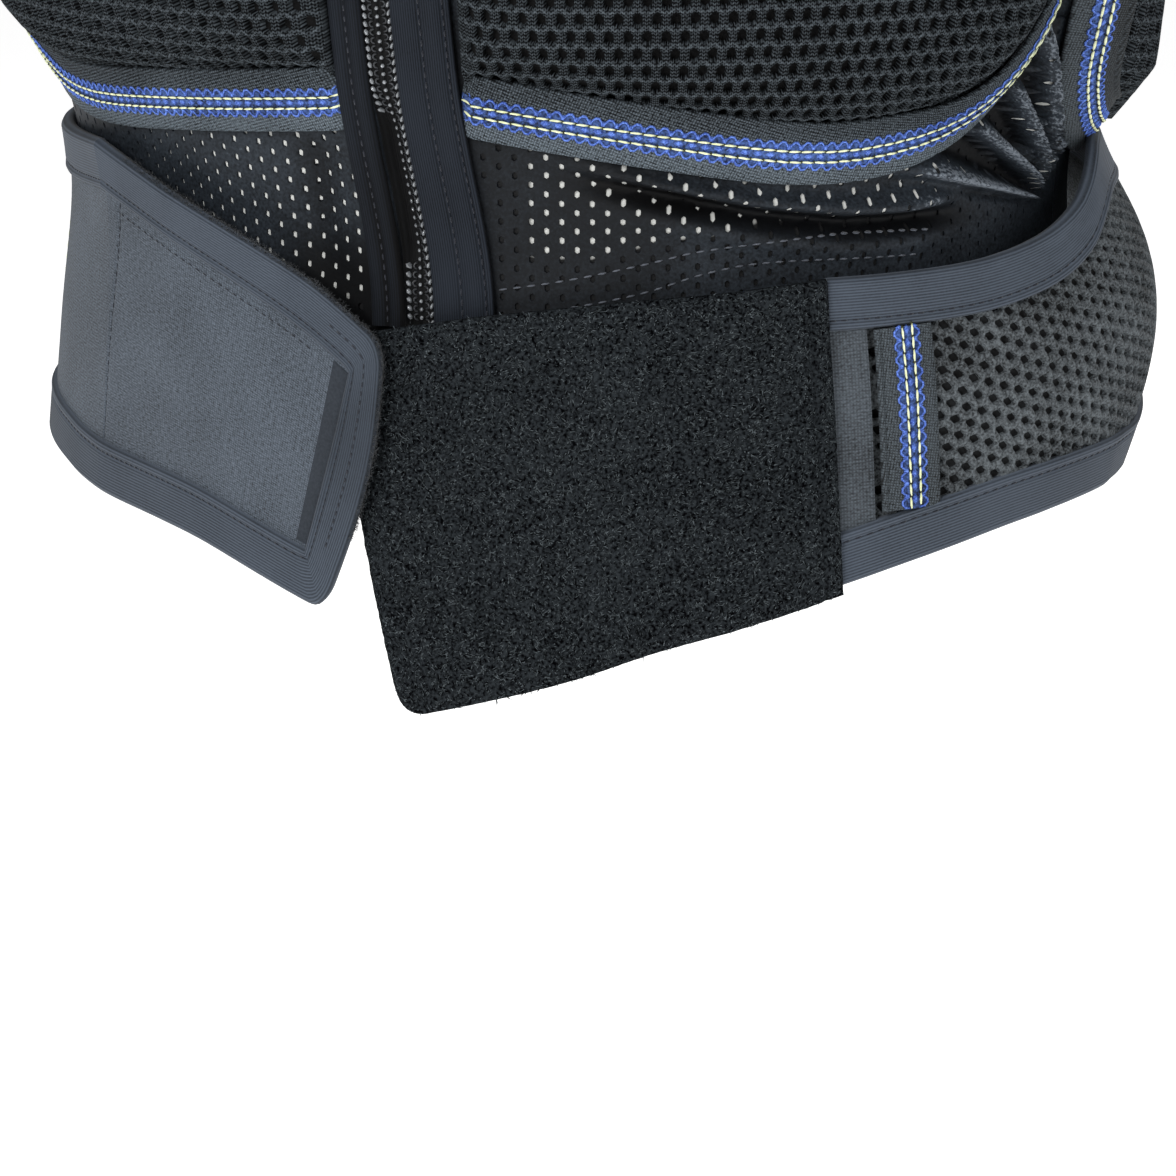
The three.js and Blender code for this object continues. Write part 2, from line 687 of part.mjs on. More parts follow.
// The bindings bend at the same angles as the stretches between them.
const beltStops = [
  BELT_PARTS[0].from,
  ...BELT_PARTS.flatMap(({ from, to, columns }) =>
    Array.from({ length: columns }, (_, i) => lerp(from, to, (i + 1) / columns)),
  ),
];
const beltWhole = { columns: beltStops.length - 1, rows: 1 };
const insideLow = (angle) => belt.bottom(angle) + BELT_BINDING + 2 * GAP;
const insideHigh = (angle) => belt.top(angle) - BELT_BINDING - 2 * GAP;
const lowerTop = (angle) => belt.bottom(angle) + BELT_BINDING;
const upperBottom = (angle) => belt.top(angle) - BELT_BINDING;
add(root, "belt_binding_bottom", beltStretch(beltWhole, belt.bottom, lowerTop), cloth.binding);
add(root, "belt_binding_top", beltStretch(beltWhole, upperBottom, belt.top), cloth.binding);
const beltFinish = { end: cloth.slate, tape: cloth.tape, wing: cloth.spacer, back: cloth.spacer };
for (const part of BELT_PARTS) {
  const [, kind] = part.name.split("_");
  add(root, part.name, beltStretch(part, insideLow, insideHigh), beltFinish[kind]);
}

// Loop panel on the belt's left end, hanging free in front of the zip.
const loopBottom = curveThrough(LOOP_PANEL.bottom);
const loopTop = curveThrough(LOOP_PANEL.top);
const loopLift = (u, v, angle) =>
  lerp(LOOP_PANEL.freeLift, LOOP_PANEL.sewnLift, smoothstep(angle, LOOP_PANEL.sewnFrom, LOOP_PANEL.sewnTo));
const loopPanel = wall({
  columns: 10,
  rows: 4,
  at: (u, v) => between(loopBottom(u), loopTop(u), v),
  inner: loopLift,
  outer: (...where) => loopLift(...where) + LOOP_PANEL.thick,
});
add(root, "loop_panel", loopPanel, cloth.loop);

// Hook tab on the belt's right end, lying over the loop panel's free end.
const tabBottom = curveThrough(HOOK_TAB.bottom);
const tabTop = curveThrough(HOOK_TAB.top);
const tabTip = HOOK_TAB.top[HOOK_TAB.top.length - 1].angle;
const tabLift = (u, v, angle) =>
  lerp(HOOK_TAB.rootLift, HOOK_TAB.tipLift, smoothstep(angle, HOOK_TAB.rootAngle, tabTip));
const tabOuter = (...where) => tabLift(...where) + HOOK_TAB.thick;

// A place on the tab by shares of its length and height, inside a rim of a given share.
function tabPlace(u, v, rim = 0) {
  const length = tabTip - HOOK_TAB.rootAngle;
  const reach = u * (1 - (rim * HOOK_TAB.tipInset) / length);
  const [low, high] = [tabBottom(reach), tabTop(reach)];
  low.height += rim * HOOK_TAB.inset;
  high.height -= rim * HOOK_TAB.inset;
  return between(low, high, v);
}

// The binding runs along the tab's lower edge, up its tip and back along its upper edge.
const tabGrid = { columns: 9, rows: 4 };
const rimStops = [
  ...Array.from({ length: tabGrid.columns }, (_, i) => ({ u: i / tabGrid.columns, v: 0 })),
  ...Array.from({ length: tabGrid.rows }, (_, i) => ({ u: 1, v: i / tabGrid.rows })),
  ...Array.from({ length: tabGrid.columns + 1 }, (_, i) => ({ u: 1 - i / tabGrid.columns, v: 1 })),
];
const tabBinding = wall({
  columns: rimStops.length - 1,
  rows: 1,
  at: (along, across) => {
    const { u, v } = rimStops[Math.round(along * (rimStops.length - 1))];
    return between(tabPlace(u, v), tabPlace(u, v, 1 - 2 * GAP / HOOK_TAB.inset), across);
  },
  inner: tabLift,
  outer: tabOuter,
});
add(root, "hook_tab_binding", tabBinding, cloth.binding);
const hookTab = wall({ ...tabGrid, at: (u, v) => tabPlace(u, v, 1), inner: tabLift, outer: tabOuter });
add(root, "hook_tab", hookTab, cloth.slate);

const patchLift = (...where) => tabLift(...where) - 2 * GAP;
const hookPatch = wall({
  columns: 8,
  rows: 3,
  at: (u, v) => tabPlace(lerp(HOOK_PATCH.from, HOOK_PATCH.to, u), lerp(HOOK_PATCH.low, HOOK_PATCH.high, v)),
  inner: (...where) => patchLift(...where) - HOOK_PATCH.thick,
  outer: patchLift,
});
add(root, "hook_patch", hookPatch, cloth.hook);

export default root;
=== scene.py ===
"""Looks of an equestrian body protector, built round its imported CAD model.

Every soft piece is modelled flat in millimetres, as a maker cuts it: x along the piece, y across
it and z off it. A Lay then wraps the flat piece round the body form that the CAD source uses.
"""

import logging
import math
from dataclasses import dataclass, field
from enum import Enum
from functools import cached_property
from typing import Callable, Sequence

import bmesh
import bpy
import numpy as np
from mathutils import Matrix, Vector


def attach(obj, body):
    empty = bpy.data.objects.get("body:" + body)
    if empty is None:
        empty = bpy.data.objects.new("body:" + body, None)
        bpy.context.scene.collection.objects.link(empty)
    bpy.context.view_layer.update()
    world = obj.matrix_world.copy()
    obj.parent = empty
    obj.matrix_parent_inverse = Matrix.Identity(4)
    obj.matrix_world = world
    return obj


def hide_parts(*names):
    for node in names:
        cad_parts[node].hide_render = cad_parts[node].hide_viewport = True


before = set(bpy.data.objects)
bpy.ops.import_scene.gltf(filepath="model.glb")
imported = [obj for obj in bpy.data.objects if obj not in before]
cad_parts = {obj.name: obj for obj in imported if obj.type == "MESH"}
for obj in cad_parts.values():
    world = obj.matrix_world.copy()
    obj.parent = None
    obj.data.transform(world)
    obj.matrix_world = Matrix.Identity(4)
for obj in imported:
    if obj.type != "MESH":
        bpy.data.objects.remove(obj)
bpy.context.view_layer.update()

LOG = logging.getLogger("protector")
Array = np.ndarray
BMesh = bmesh.types.BMesh
Face = bmesh.types.BMFace
Object = bpy.types.Object
Socket = bpy.types.NodeSocket
Colour = tuple[int, int, int]
Pair = tuple[Array, Array]
Section = Sequence[tuple[float, float]]  # y and z round a cross-section
Table = tuple[tuple[float, float], ...]
SEED = 7
MM = 0.001
FLAT = 2.5  # millimetres of flat cloth for each degree round the body
UNDERSIDE = -100.0  # flat z that stands for the underside of a thick piece
ON_FABRIC = 2.6  # lift of what is sewn on the vest
CHAIN_EDGE = 4.8  # from the zip's middle to the edge of its facing
TAPE_WIDTH = 19.0
SEAM_GROOVE = 11.25  # from a binding's edge to its stitches
UV_NAME = "flat"


# Small maths


def lerp(low: Array, high: Array, share: Array) -> Array:
    """Value between two others at a share."""
    return low + (high - low) * share


def fade(value: Array, low: float, high: float) -> Array:
    """Eased share of a value between two limits."""
    share = np.clip((value - low) / (high - low), 0.0, 1.0)
    return share * share * (3 - 2 * share)


def hump(distance: Array, width: float) -> Array:
    """A round bump, 1 at no distance."""
    return np.exp(-((distance / width) ** 2))


def spline(points: Sequence[Sequence[float]], reflect: bool = False, per: int = 40) -> Array:
    """Samples of a Catmull-Rom curve.

    Args:
        points: the points that it goes through.
        reflect: whether the points beyond its ends mirror its second ones.
        per: samples in each stretch.

    Returns:
        The samples, one row each, even in the curve's own parameter.
    """
    p = np.array(points, float)
    first = 2 * p[0] - p[1] if reflect else p[0]
    last = 2 * p[-1] - p[-2] if reflect else p[-1]
    q = np.vstack([first, p, last])
    t = (np.arange(per) / per)[:, None]
    rows = []
    for a, b, c, d in zip(q[:-3], q[1:-2], q[2:-1], q[3:]):
        m, n = (c - a) / 2, (d - b) / 2
        rows.append(
            (2 * t**3 - 3 * t**2 + 1) * b
            + (t**3 - 2 * t**2 + t) * m
            + (3 * t**2 - 2 * t**3) * c
            + (t**3 - t**2) * n
        )
    return np.vstack([*rows, p[-1:]])


def run_along(line: Array) -> Array:
    """Distance along a line to each of its points."""
    return np.concatenate([[0], np.cumsum(np.linalg.norm(np.diff(line, axis=0), axis=1))])


# Body form


@dataclass(frozen=True)
class BodyForm:
    """The body that the protector is worn on: half ellipses stacked up the trunk."""

    sections: tuple[tuple[float, float, float, float], ...] = (
        # height above the waist, half width, front depth, back depth
        (-200, 160, 126, 118),
        (-120, 158, 125, 117),
        (-60, 155, 120, 112),
        (-15, 152, 116, 108),
        (20, 158, 118, 110),
        (60, 169, 123, 115),
        (130, 179, 131, 123),
        (200, 185, 136, 128),
        (255, 184, 131, 128),
        (305, 178, 121, 122),
        (350, 168, 106, 108),
        (380, 150, 90, 92),
        (402, 120, 70, 73),
        (420, 85, 49, 52),
        (432, 52, 30, 32),
        (438, 20, 12, 12),
    )
    shoulder_seat: float = 404.0  # height of the frame's origin
    tangent_step: float = 0.2

    @cached_property
    def table(self) -> Array:
        """Closely sampled sections."""
        return spline(self.sections, reflect=True)

    @cached_property
    def climb(self) -> Array:
        """Heights, and the distance up the body's slope to each of them."""
        slope_angle, t = math.radians(60), self.table
        line = np.stack([t[:, 1] * math.sin(slope_angle), t[:, 2] * math.cos(slope_angle), t[:, 0]], 1)
        run = run_along(line)
        return np.stack([t[:, 0], run - np.interp(0.0, t[:, 0], run)], 1)

    def column(self, height: Array, index: int) -> Array:
        """One column of the table at a height."""
        return np.interp(height, self.table[:, 0], self.table[:, index])

    def point(self, angle: Array, height: Array) -> Array:
        """Points of the form, in millimetres above the waist."""
        turn = np.radians(angle)
        front = np.cos(turn) > 0
        depth = np.where(front, self.column(height, 2), self.column(height, 3))
        across = self.column(height, 1) * np.sin(turn)
        return np.stack([across, -depth * np.cos(turn), np.broadcast_to(height, across.shape)], -1)

    def tangents(self, angle: Array, height: Array) -> Pair:
        """Tangents for each degree round the body and for each millimetre of height."""
        s = self.tangent_step
        along = self.point(angle + s, height) - self.point(angle - s, height)
        up = self.point(angle, height + s) - self.point(angle, height - s)
        return along / (2 * s), up / (2 * s)

    def scale(self, angle: Array, height: Array) -> Pair:
        """Millimetres for each degree, and for each millimetre of height."""
        along, up = self.tangents(angle, height)
        return np.linalg.norm(along, axis=-1), np.linalg.norm(up, axis=-1)

    def place(self, angle: Array, height: Array, lift: Array) -> Array:
        """Points off the form in the row frame, in metres.

        Args:
            angle: degrees from the front towards the wearer's left.
            height: millimetres above the waist.
            lift: millimetres off the form.

        Returns:
            One row of x, y and z for each place.
        """
        along, up = self.tangents(angle, height)
        normal = np.cross(along, up)
        normal /= np.linalg.norm(normal, axis=-1, keepdims=True)
        spot = self.point(angle, height) + normal * np.asarray(lift)[..., None]
        spot[..., 2] -= self.shoulder_seat
        return spot * MM


FORM = BodyForm()


@dataclass(frozen=True)
class Lay:
    """How a flat piece lies on the body form."""

    where: Callable[[Array, Array], Pair]  # flat x and y to angle and height
    base: Callable[[Array, Array, Array, Array], Array]  # lift of flat z = 0
    under: Callable[[Array, Array, Array, Array], Array] | None = None  # lift of the underside
    mirror: float = 1.0

    def points(self, flat: Array) -> Array:
        """Points in the row frame for flat ones."""
        x, y, z = flat.T
        angle, height = self.where(x, y)
        lift = self.base(x, y, angle, height) + z
        if self.under is not None:
            lift = np.where(z <= UNDERSIDE / 2, self.under(x, y, angle, height), lift)
        spots = FORM.place(angle, height, lift)
        spots[:, 0] *= self.mirror
        return spots


def straight(x: Array, y: Array) -> Pair:
    """Where of a piece whose flat x is the angle and y the height."""
    return x / FLAT, y


@dataclass(frozen=True)
class Outline:
    """A closed outline of a flat piece."""

    corners: Array

    def inside(self, points: Array) -> Array:
        """Which points lie inside."""
        a, b = self.corners, np.roll(self.corners, -1, axis=0)
        x, y = points[:, :1], points[:, 1:2]
        spans = (a[:, 1] > y) != (b[:, 1] > y)
        rise = np.where(np.abs(b[:, 1] - a[:, 1]) < 1e-9, 1e-9, b[:, 1] - a[:, 1])
        crossing = a[:, 0] + (y - a[:, 1]) / rise * (b[:, 0] - a[:, 0])
        return (np.sum(spans & (x < crossing), axis=1) % 2).astype(bool)

    def nearest(self, points: Array, scale: Array | None = None, closed: bool = True) -> Pair:
        """Nearest places on the outline.

        Args:
            points: flat points.
            scale: true size of a flat unit across and up, for each point.
            closed: whether the side from the last corner to the first counts.

        Returns:
            The places, and how far they are.
        """
        a = self.corners if closed else self.corners[:-1]
        b = np.roll(self.corners, -1, axis=0) if closed else self.corners[1:]
        size = np.ones_like(points) if scale is None else scale
        places, distances = [], []
        chunk = 3000
        for start in range(0, len(points), chunk):
            p, s = points[start : start + chunk, None], size[start : start + chunk, None]
            side, out = (b - a)[None] * s, (p - a[None]) * s
            t = np.clip(np.sum(side * out, -1) / np.maximum(np.sum(side * side, -1), 1e-9), 0, 1)
            gap = np.linalg.norm(out - t[..., None] * side, axis=-1)
            best = np.argmin(gap, axis=1)
            rows = np.arange(len(best))
            places.append(a[best] + t[rows, best][:, None] * (b - a)[best])
            distances.append(gap[rows, best])
        if not places:
            return np.zeros((0, 2)), np.zeros(0)
        return np.vstack(places), np.concatenate(distances)


@dataclass(frozen=True)
class EdgePath:
    """A path on the body with rounded corners, and places beside it."""

    corners: tuple[tuple[float, float, float], ...]  # angle, height, corner radius
    closed: bool = False
    step: float = 3.0
    ease: int = 4  # steps each way over which its direction is averaged

    @cached_property
    def flat(self) -> Array:
        """Evenly spaced flat points."""
        c = np.array([(a * FLAT, h) for a, h, _ in self.corners])
        line = [c[0]]
        for i in range(1, len(c)):
            radius, here = self.corners[i][2], c[i]
            if not radius:
                line.append(here)
                continue
            into = here - c[i - 1]
            out = c[(i + 1) % len(c)] - here
            start = here - into / np.linalg.norm(into) * radius
            end = here + out / np.linalg.norm(out) * radius
            for t in np.linspace(0, 1, 17):
                line.append((1 - t) ** 2 * start + 2 * t * (1 - t) * here + t**2 * end)
        if self.closed:
            line.append(c[0])
        return respaced(np.array(line), self.step)

    @cached_property
    def rows(self) -> Array:
        """Rows of run, angle, height, and their change for each millimetre to the left."""
        return beside(self.flat, self.closed, self.ease)

    @property
    def length(self) -> float:
        """True length in millimetres."""
        return float(self.rows[-1, 0])

    def where(self, x: Array, y: Array) -> Pair:
        """Angle and height at a run x along the path and an inset y to its left."""
        return on_rows(self.rows, x, y)


def respaced(line: Array, step: float) -> Array:
    """A line's points at an even spacing."""
    run = run_along(line)
    at = np.linspace(0, run[-1], max(2, round(run[-1] / step) + 1))
    return np.stack([np.interp(at, run, line[:, k]) for k in range(line.shape[1])], 1)


def beside(flat: Array, closed: bool, ease: int) -> Array:
    """Rows that place a ribbon beside a flat line.

    Args:
        flat: points of the line.
        closed: whether its last point is its first.
        ease: points each way over which its direction is averaged.

    Returns:
        Rows of run, angle, height, and the change of angle and height for a millimetre inwards.
    """
    angle, height = flat[:, 0] / FLAT, flat[:, 1]
    round_it, up = FORM.scale(angle, height)
    n = len(flat)
    k = np.arange(n)
    if closed:
        before, after = (k - ease) % (n - 1), (k + ease) % (n - 1)
    else:
        before, after = np.clip(k - ease, 0, n - 1), np.clip(k + ease, 0, n - 1)
    turn = np.stack([(angle[after] - angle[before]) * round_it, (height[after] - height[before]) * up], 1)
    turn /= np.linalg.norm(turn, axis=1, keepdims=True)
    across = np.diff(angle) * (round_it[1:] + round_it[:-1]) / 2
    moves = np.stack([across, np.diff(height) * (up[1:] + up[:-1]) / 2], 1)
    run = np.concatenate([[0], np.cumsum(np.linalg.norm(moves, axis=1))])
    return np.stack([run, angle, height, -turn[:, 1] / round_it, turn[:, 0] / up], 1)


def on_rows(rows: Array, x: Array, y: Array) -> Pair:
    """Angle and height at a run and an inset beside a line's rows."""
    run = rows[:, 0]
    angle = np.interp(x, run, rows[:, 1]) + y * np.interp(x, run, rows[:, 3])
    return angle, np.interp(x, run, rows[:, 2]) + y * np.interp(x, run, rows[:, 4])


# Flat modelling


def flat_grid(length: float, width: float, along: int, across: int) -> BMesh:
    """A flat grid from the origin."""
    bm = bmesh.new()
    place = Matrix.Translation((length / 2, width / 2, 0)) @ Matrix.Diagonal((length, width, 1, 1))
    bmesh.ops.create_grid(bm, x_segments=along, y_segments=across, size=0.5, matrix=place)
    return bm


def level(runs: Array, across: float, lift: float) -> Array:
    """Flat places at runs along a piece, all at one place across it and one height."""
    return np.column_stack([runs, np.full_like(runs, across), np.full_like(runs, lift)])


def swept(length: float, steps: int, section: Section, ring: bool = False) -> BMesh:
    """A flat strip of a given cross-section.

    Args:
        length: its length.
        steps: stations along it.
        section: y and z round the cross-section.
        ring: whether its ends meet once it is laid, so they aren't capped.

    Returns:
        The strip, closed all round.
    """
    bm = bmesh.new()
    count = len(section)
    bmesh.ops.create_grid(bm, x_segments=steps, y_segments=count, size=0.5)
    for v in bm.verts:
        i, j = round((v.co.x + 0.5) * steps), round((v.co.y + 0.5) * count) % count
        v.co = (length * i / steps, *section[j])
    bmesh.ops.remove_doubles(bm, verts=bm.verts[:], dist=1e-4)
    if not ring:
        rims = [e for e in bm.edges if e.is_boundary]
        bmesh.ops.holes_fill(bm, edges=rims, sides=0)
        for e in rims:
            e.smooth = False
    return bm


def honeycomb(outline: Outline, pitch: float, row: float, edge: float) -> BMesh:
    """Flat six-sided cells cut to an outline.

    Args:
        outline: what they are cut to.
        pitch: from cell to cell in a row.
        row: from row to row.
        edge: half the length of the side that neighbours in a row share.

    Returns:
        The cells, joined where they meet.
    """
    bm = bmesh.new()
    (left, low), (right, high) = outline.corners.min(0), outline.corners.max(0)
    left, low = math.floor(left / pitch) * pitch, math.floor(low / (2 * row)) * 2 * row
    tip, half = row - edge, pitch / 2
    ring = [(0, -tip), (half, -edge), (half, edge), (0, tip), (-half, edge), (-half, -edge)]
    bmesh.ops.create_circle(bm, cap_ends=True, radius=1, segments=6)
    for v, (x, y) in zip(bm.verts, ring):
        v.co = (x, y, 0)

    def repeat(step: Vector, count: int) -> None:
        """Doubles all cells along a step until there are enough."""
        copies = 1
        while copies < count:
            made = bmesh.ops.duplicate(bm, geom=bm.verts[:] + bm.edges[:] + bm.faces[:])["geom"]
            fresh = [g for g in made if isinstance(g, bmesh.types.BMVert)]
            bmesh.ops.translate(bm, verts=fresh, vec=step * copies)
            copies *= 2

    repeat(Vector((pitch, 0, 0)), math.ceil((right - left) / pitch) + 2)
    beyond = right - left + 2 * pitch
    bmesh.ops.delete(bm, geom=[f for f in bm.faces if f.calc_center_median().x > beyond], context="FACES")
    repeat(Vector((pitch / 2, row, 0)), 2)
    repeat(Vector((0, 2 * row, 0)), math.ceil((high - low) / (2 * row)) + 1)
    bmesh.ops.remove_doubles(bm, verts=bm.verts[:], dist=0.01)
    for v in bm.verts:
        v.co = (v.co.x + left, v.co.y + low, 0)
    trim(bm, outline)
    return bm


def trim(bm: BMesh, outline: Outline) -> None:
    """Cuts flat cells to an outline, drawing the cells that cross it in to its edge."""
    bm.verts.index_update()
    points = np.array([v.co[:2] for v in bm.verts])
    inside = outline.inside(points)
    gone = [f for f in bm.faces if not any(inside[v.index] for v in f.verts)]
    outer = np.flatnonzero(~inside)
    near, _ = outline.nearest(points[outer])
    bm.verts.ensure_lookup_table()
    for index, (x, y) in zip(outer, near):
        bm.verts[index].co = (x, y, 0)
    bmesh.ops.delete(bm, geom=gone, context="FACES")
    bmesh.ops.remove_doubles(bm, verts=bm.verts[:], dist=0.12)
    bmesh.ops.dissolve_degenerate(bm, edges=bm.edges[:], dist=0.05)


def thicken(bm: BMesh) -> list[Face]:
    """Gives a flat piece an underside and sides, and returns its upper faces."""
    upper = bm.faces[:]
    for e in bm.edges:
        e.smooth = not e.is_boundary
    made = bmesh.ops.extrude_face_region(bm, geom=upper, use_keep_orig=True)["geom"]
    for v in (g for g in made if isinstance(g, bmesh.types.BMVert)):
        v.co.z = UNDERSIDE
    return upper


def sink(bm: BMesh, faces: list[Face], across: float, up: float, drop: float, pinch: float = 0.0) -> None:
    """Insets each face, draws the inset in and lowers it.

    Args:
        bm: the flat piece.
        faces: the cells.
        across: share of a cell's width that is left.
        up: share of its height that is left.
        drop: how far the inset is lowered.
        pinch: share by which its left and right ends are drawn to a point.
    """
    bmesh.ops.inset_individual(bm, faces=faces, thickness=0.01, depth=0)
    for f in faces:
        middle = f.calc_center_median()
        half = max(abs(v.co.x - middle.x) for v in f.verts)
        for v in f.verts:
            side = abs(v.co.x - middle.x) / half
            v.co.x = middle.x + (v.co.x - middle.x) * across
            v.co.y = middle.y + (v.co.y - middle.y) * up * (1 - pinch * side)
            v.co.z -= drop


def roughen(bm: BMesh, rng: np.random.Generator, size: float) -> None:
    """Moves the points of a thick piece's face up and down at random."""
    for v in bm.verts:
        if v.co.z > UNDERSIDE / 2:
            v.co.z += rng.normal(0, size)


def pierce(bm: BMesh, holes: list[Face], *rings: Sequence[float]) -> None:
    """Sinks cells ring by ring and gives their floors the second finish."""
    for ring in rings:
        sink(bm, holes, *ring)
    for f in holes:
        f.material_index = 1


def ribbed(start: float, end: float, lift: float, rise: float, ribs: int) -> list[tuple[float, float]]:
    """Part of a cross-section with fine ribs, from one place across it to another."""
    stops = range(2 * ribs + 1)
    return [(lerp(start, end, k / (2 * ribs)), lift + (rise if k % 2 else 0.0)) for k in stops]


def joined(parts: Sequence[Pair]) -> Pair:
    """Points and triangles of several parts as those of one."""
    starts = np.cumsum([0, *[len(p) for p, _ in parts]])
    faces = np.vstack([f + start for (_, f), start in zip(parts, starts)])
    return np.vstack([p for p, _ in parts]), faces


@dataclass(frozen=True)
class Shape:
    """A small shape that is repeated many times, as triangles."""

    points: Array
    faces: Array

    @classmethod
    def of(cls, bm: BMesh) -> "Shape":
        """Reads a bmesh and frees it."""
        bmesh.ops.triangulate(bm, faces=bm.faces[:])
        bmesh.ops.recalc_face_normals(bm, faces=bm.faces[:])
        bm.verts.index_update()
        points = np.array([v.co[:] for v in bm.verts])
        faces = np.array([[v.index for v in f.verts] for f in bm.faces])
        bm.free()
        return cls(points, faces)

    @classmethod
    def grain(cls) -> "Shape":
        """A rounded grain, for a stitch."""
        bm = bmesh.new()
        bmesh.ops.create_icosphere(bm, subdivisions=1, radius=1)
        return cls.of(bm)

    @classmethod
    def bead(cls, sides: int = 6, rings: int = 4) -> "Shape":
        """A round bead."""
        bm = bmesh.new()
        bmesh.ops.create_uvsphere(bm, u_segments=sides, v_segments=rings, radius=1)
        return cls.of(bm)

    @classmethod
    def hair(cls) -> "Shape":
        """A slim spike that stands on the origin."""
        bm = bmesh.new()
        place = Matrix.Translation((0, 0, 0.5))
        bmesh.ops.create_cone(bm, cap_ends=True, segments=3, radius1=1, radius2=0, depth=1, matrix=place)
        return cls.of(bm)

    @classmethod
    def loop(cls, wire: float = 0.36, sides: int = 3, steps: int = 5) -> "Shape":
        """Half a ring of wire that opens towards -y, of radius 1."""
        bm = bmesh.new()
        place = Matrix.Translation((1, 0, 0)) @ Matrix.Rotation(math.pi / 2, 4, "X")
        made = bmesh.ops.create_circle(bm, cap_ends=False, radius=wire, segments=sides, matrix=place)
        geom = made["verts"] + list({e for v in made["verts"] for e in v.link_edges})
        bmesh.ops.spin(bm, geom=geom, cent=(0, 0, 0), axis=(0, 0, 1), angle=math.pi, steps=steps)
        bmesh.ops.holes_fill(bm, edges=[e for e in bm.edges if e.is_boundary], sides=0)
        return cls.of(bm)

    def repeat(self, at: Array, size: Array, turn: Array | float = 0.0, lean: Array | None = None) -> Pair:
        """Copies of the shape.

        Args:
            at: place of each copy.
            size: scale of each copy on three axes.
            turn: turn of each copy in the flat plane, in radians.
            lean: shift of each copy in x and y for each unit of its own height.

        Returns:
            Points and triangles of all the copies.
        """
        count = len(at)
        p = self.points[None] * np.broadcast_to(size, (count, 3))[:, None]
        if lean is not None:
            shift = lean[:, None] * self.points[None, :, 2:]
            p = p + np.concatenate([shift, np.zeros((*p.shape[:2], 1))], -1)
        turns = np.broadcast_to(turn, count)
        c, s = np.cos(turns)[:, None], np.sin(turns)[:, None]
        turned = np.stack([p[..., 0] * c - p[..., 1] * s, p[..., 0] * s + p[..., 1] * c, p[..., 2]], -1)
        points = (turned + at[:, None]).reshape(-1, 3)
        faces = (self.faces[None] + (np.arange(count) * len(self.points))[:, None, None]).reshape(-1, 3)
        return points, faces


def along_line(line: Array, pitch: float) -> Pair:
    """Evenly spaced flat places on a line, and the line's direction there in radians."""
    even = respaced(np.asarray(line, float), pitch)
    middle, step = (even[1:] + even[:-1]) / 2, np.diff(even, axis=0)
    return middle, np.arctan2(step[:, 1], step[:, 0])


# Finishes


class Weave(Enum):
    """Fine texture of a finish."""

    TWILL = "twill"
    RIB = "rib"
    CANVAS = "canvas"
    NET = "net"
    NAP = "nap"


def linear(colour: Colour) -> tuple[float, float, float, float]:
    """A screen colour of 0 to 255 as a shader takes it."""
    parts = [c / 255 for c in colour]
    return (*[p / 12.92 if p <= 0.04045 else ((p + 0.055) / 1.055) ** 2.4 for p in parts], 1.0)


class Wiring:
    """Adds and joins the nodes of one material."""

    def __init__(self, name: str) -> None:
        """Starts a material with its shader."""
        self.material = bpy.data.materials.new(name)
        self.material.use_nodes = True
        self.tree = self.material.node_tree
        self.shader = self.tree.nodes["Principled BSDF"]

    def add(
        self, kind: str, inputs: dict[str | int, object] | None = None, **settings: object
    ) -> bpy.types.Node:
        """Adds a node.

        Args:
            kind: the node's type without its prefix.
            inputs: values or sockets for its inputs.
            **settings: its other properties.

        Returns:
            The node.
        """
        node = self.tree.nodes.new("ShaderNode" + kind)
        for key, value in settings.items():
            setattr(node, key, value)
        for key, value in (inputs or {}).items():
            if isinstance(value, Socket):
                self.tree.links.new(value, node.inputs[key])
            else:
                node.inputs[key].default_value = value
        return node

    def math(self, operation: str, *values: object) -> Socket:
        """Result of a sum on values or sockets."""
        return self.add("Math", dict(enumerate(values)), operation=operation).outputs[0]

    def look(self, values: dict[str, object]) -> None:
        """Sets plain inputs of the shader."""
        for name, value in values.items():
            self.shader.inputs[name].default_value = value

    def colour(self, share: Socket, *ends: tuple[float, Colour]) -> bpy.types.ColorRampElements:
        """Colours the shader by a share, from one colour to another, and returns the ramp's stops."""
        ramp = self.add("ValToRGB", {"Fac": share})
        stops = ramp.color_ramp.elements
        for stop, (position, colour) in zip(stops, ends):
            stop.position, stop.color = position, linear(colour)
        self.tree.links.new(ramp.outputs["Color"], self.shader.inputs["Base Color"])
        return stops

    def flat_place(self, turn: float = 0.0) -> Socket:
        """The flat place on the cloth in millimetres, turned by some degrees."""
        uv = self.add("UVMap", uv_map=UV_NAME).outputs[0]
        return self.add("Mapping", {"Vector": uv, "Rotation": (0, 0, math.radians(turn))}).outputs[0]

    def wave(self, place: Socket, pitch: float, direction: str, phase: object = 0.0) -> Socket:
        """Bands of a pitch in millimetres across a flat place."""
        band = math.pi / 10 / pitch
        scaled = self.add("Mapping", {"Vector": place, "Scale": (band, band, band)}).outputs[0]
        inputs = {"Vector": scaled, "Scale": 1.0, "Phase Offset": phase}
        return self.add("TexWave", inputs, bands_direction=direction).outputs["Fac"]

    def noise(self, scale: float, detail: float = 2.0) -> Socket:
        """Noise over the object, with a scale for each metre."""
        place = self.add("TexCoord").outputs["Object"]
        return self.add("TexNoise", {"Vector": place, "Scale": scale, "Detail": detail}).outputs["Fac"]

    def grain(self, place: Socket, along: float, across: float) -> Socket:
        """Noise on the flat cloth, with grains of two sizes in millimetres."""
        scaled = self.add("Mapping", {"Vector": place, "Scale": (1 / along, 1 / across, 1)}).outputs[0]
        return self.add("TexNoise", {"Vector": scaled, "Scale": 1.0, "Detail": 3.0}).outputs["Fac"]


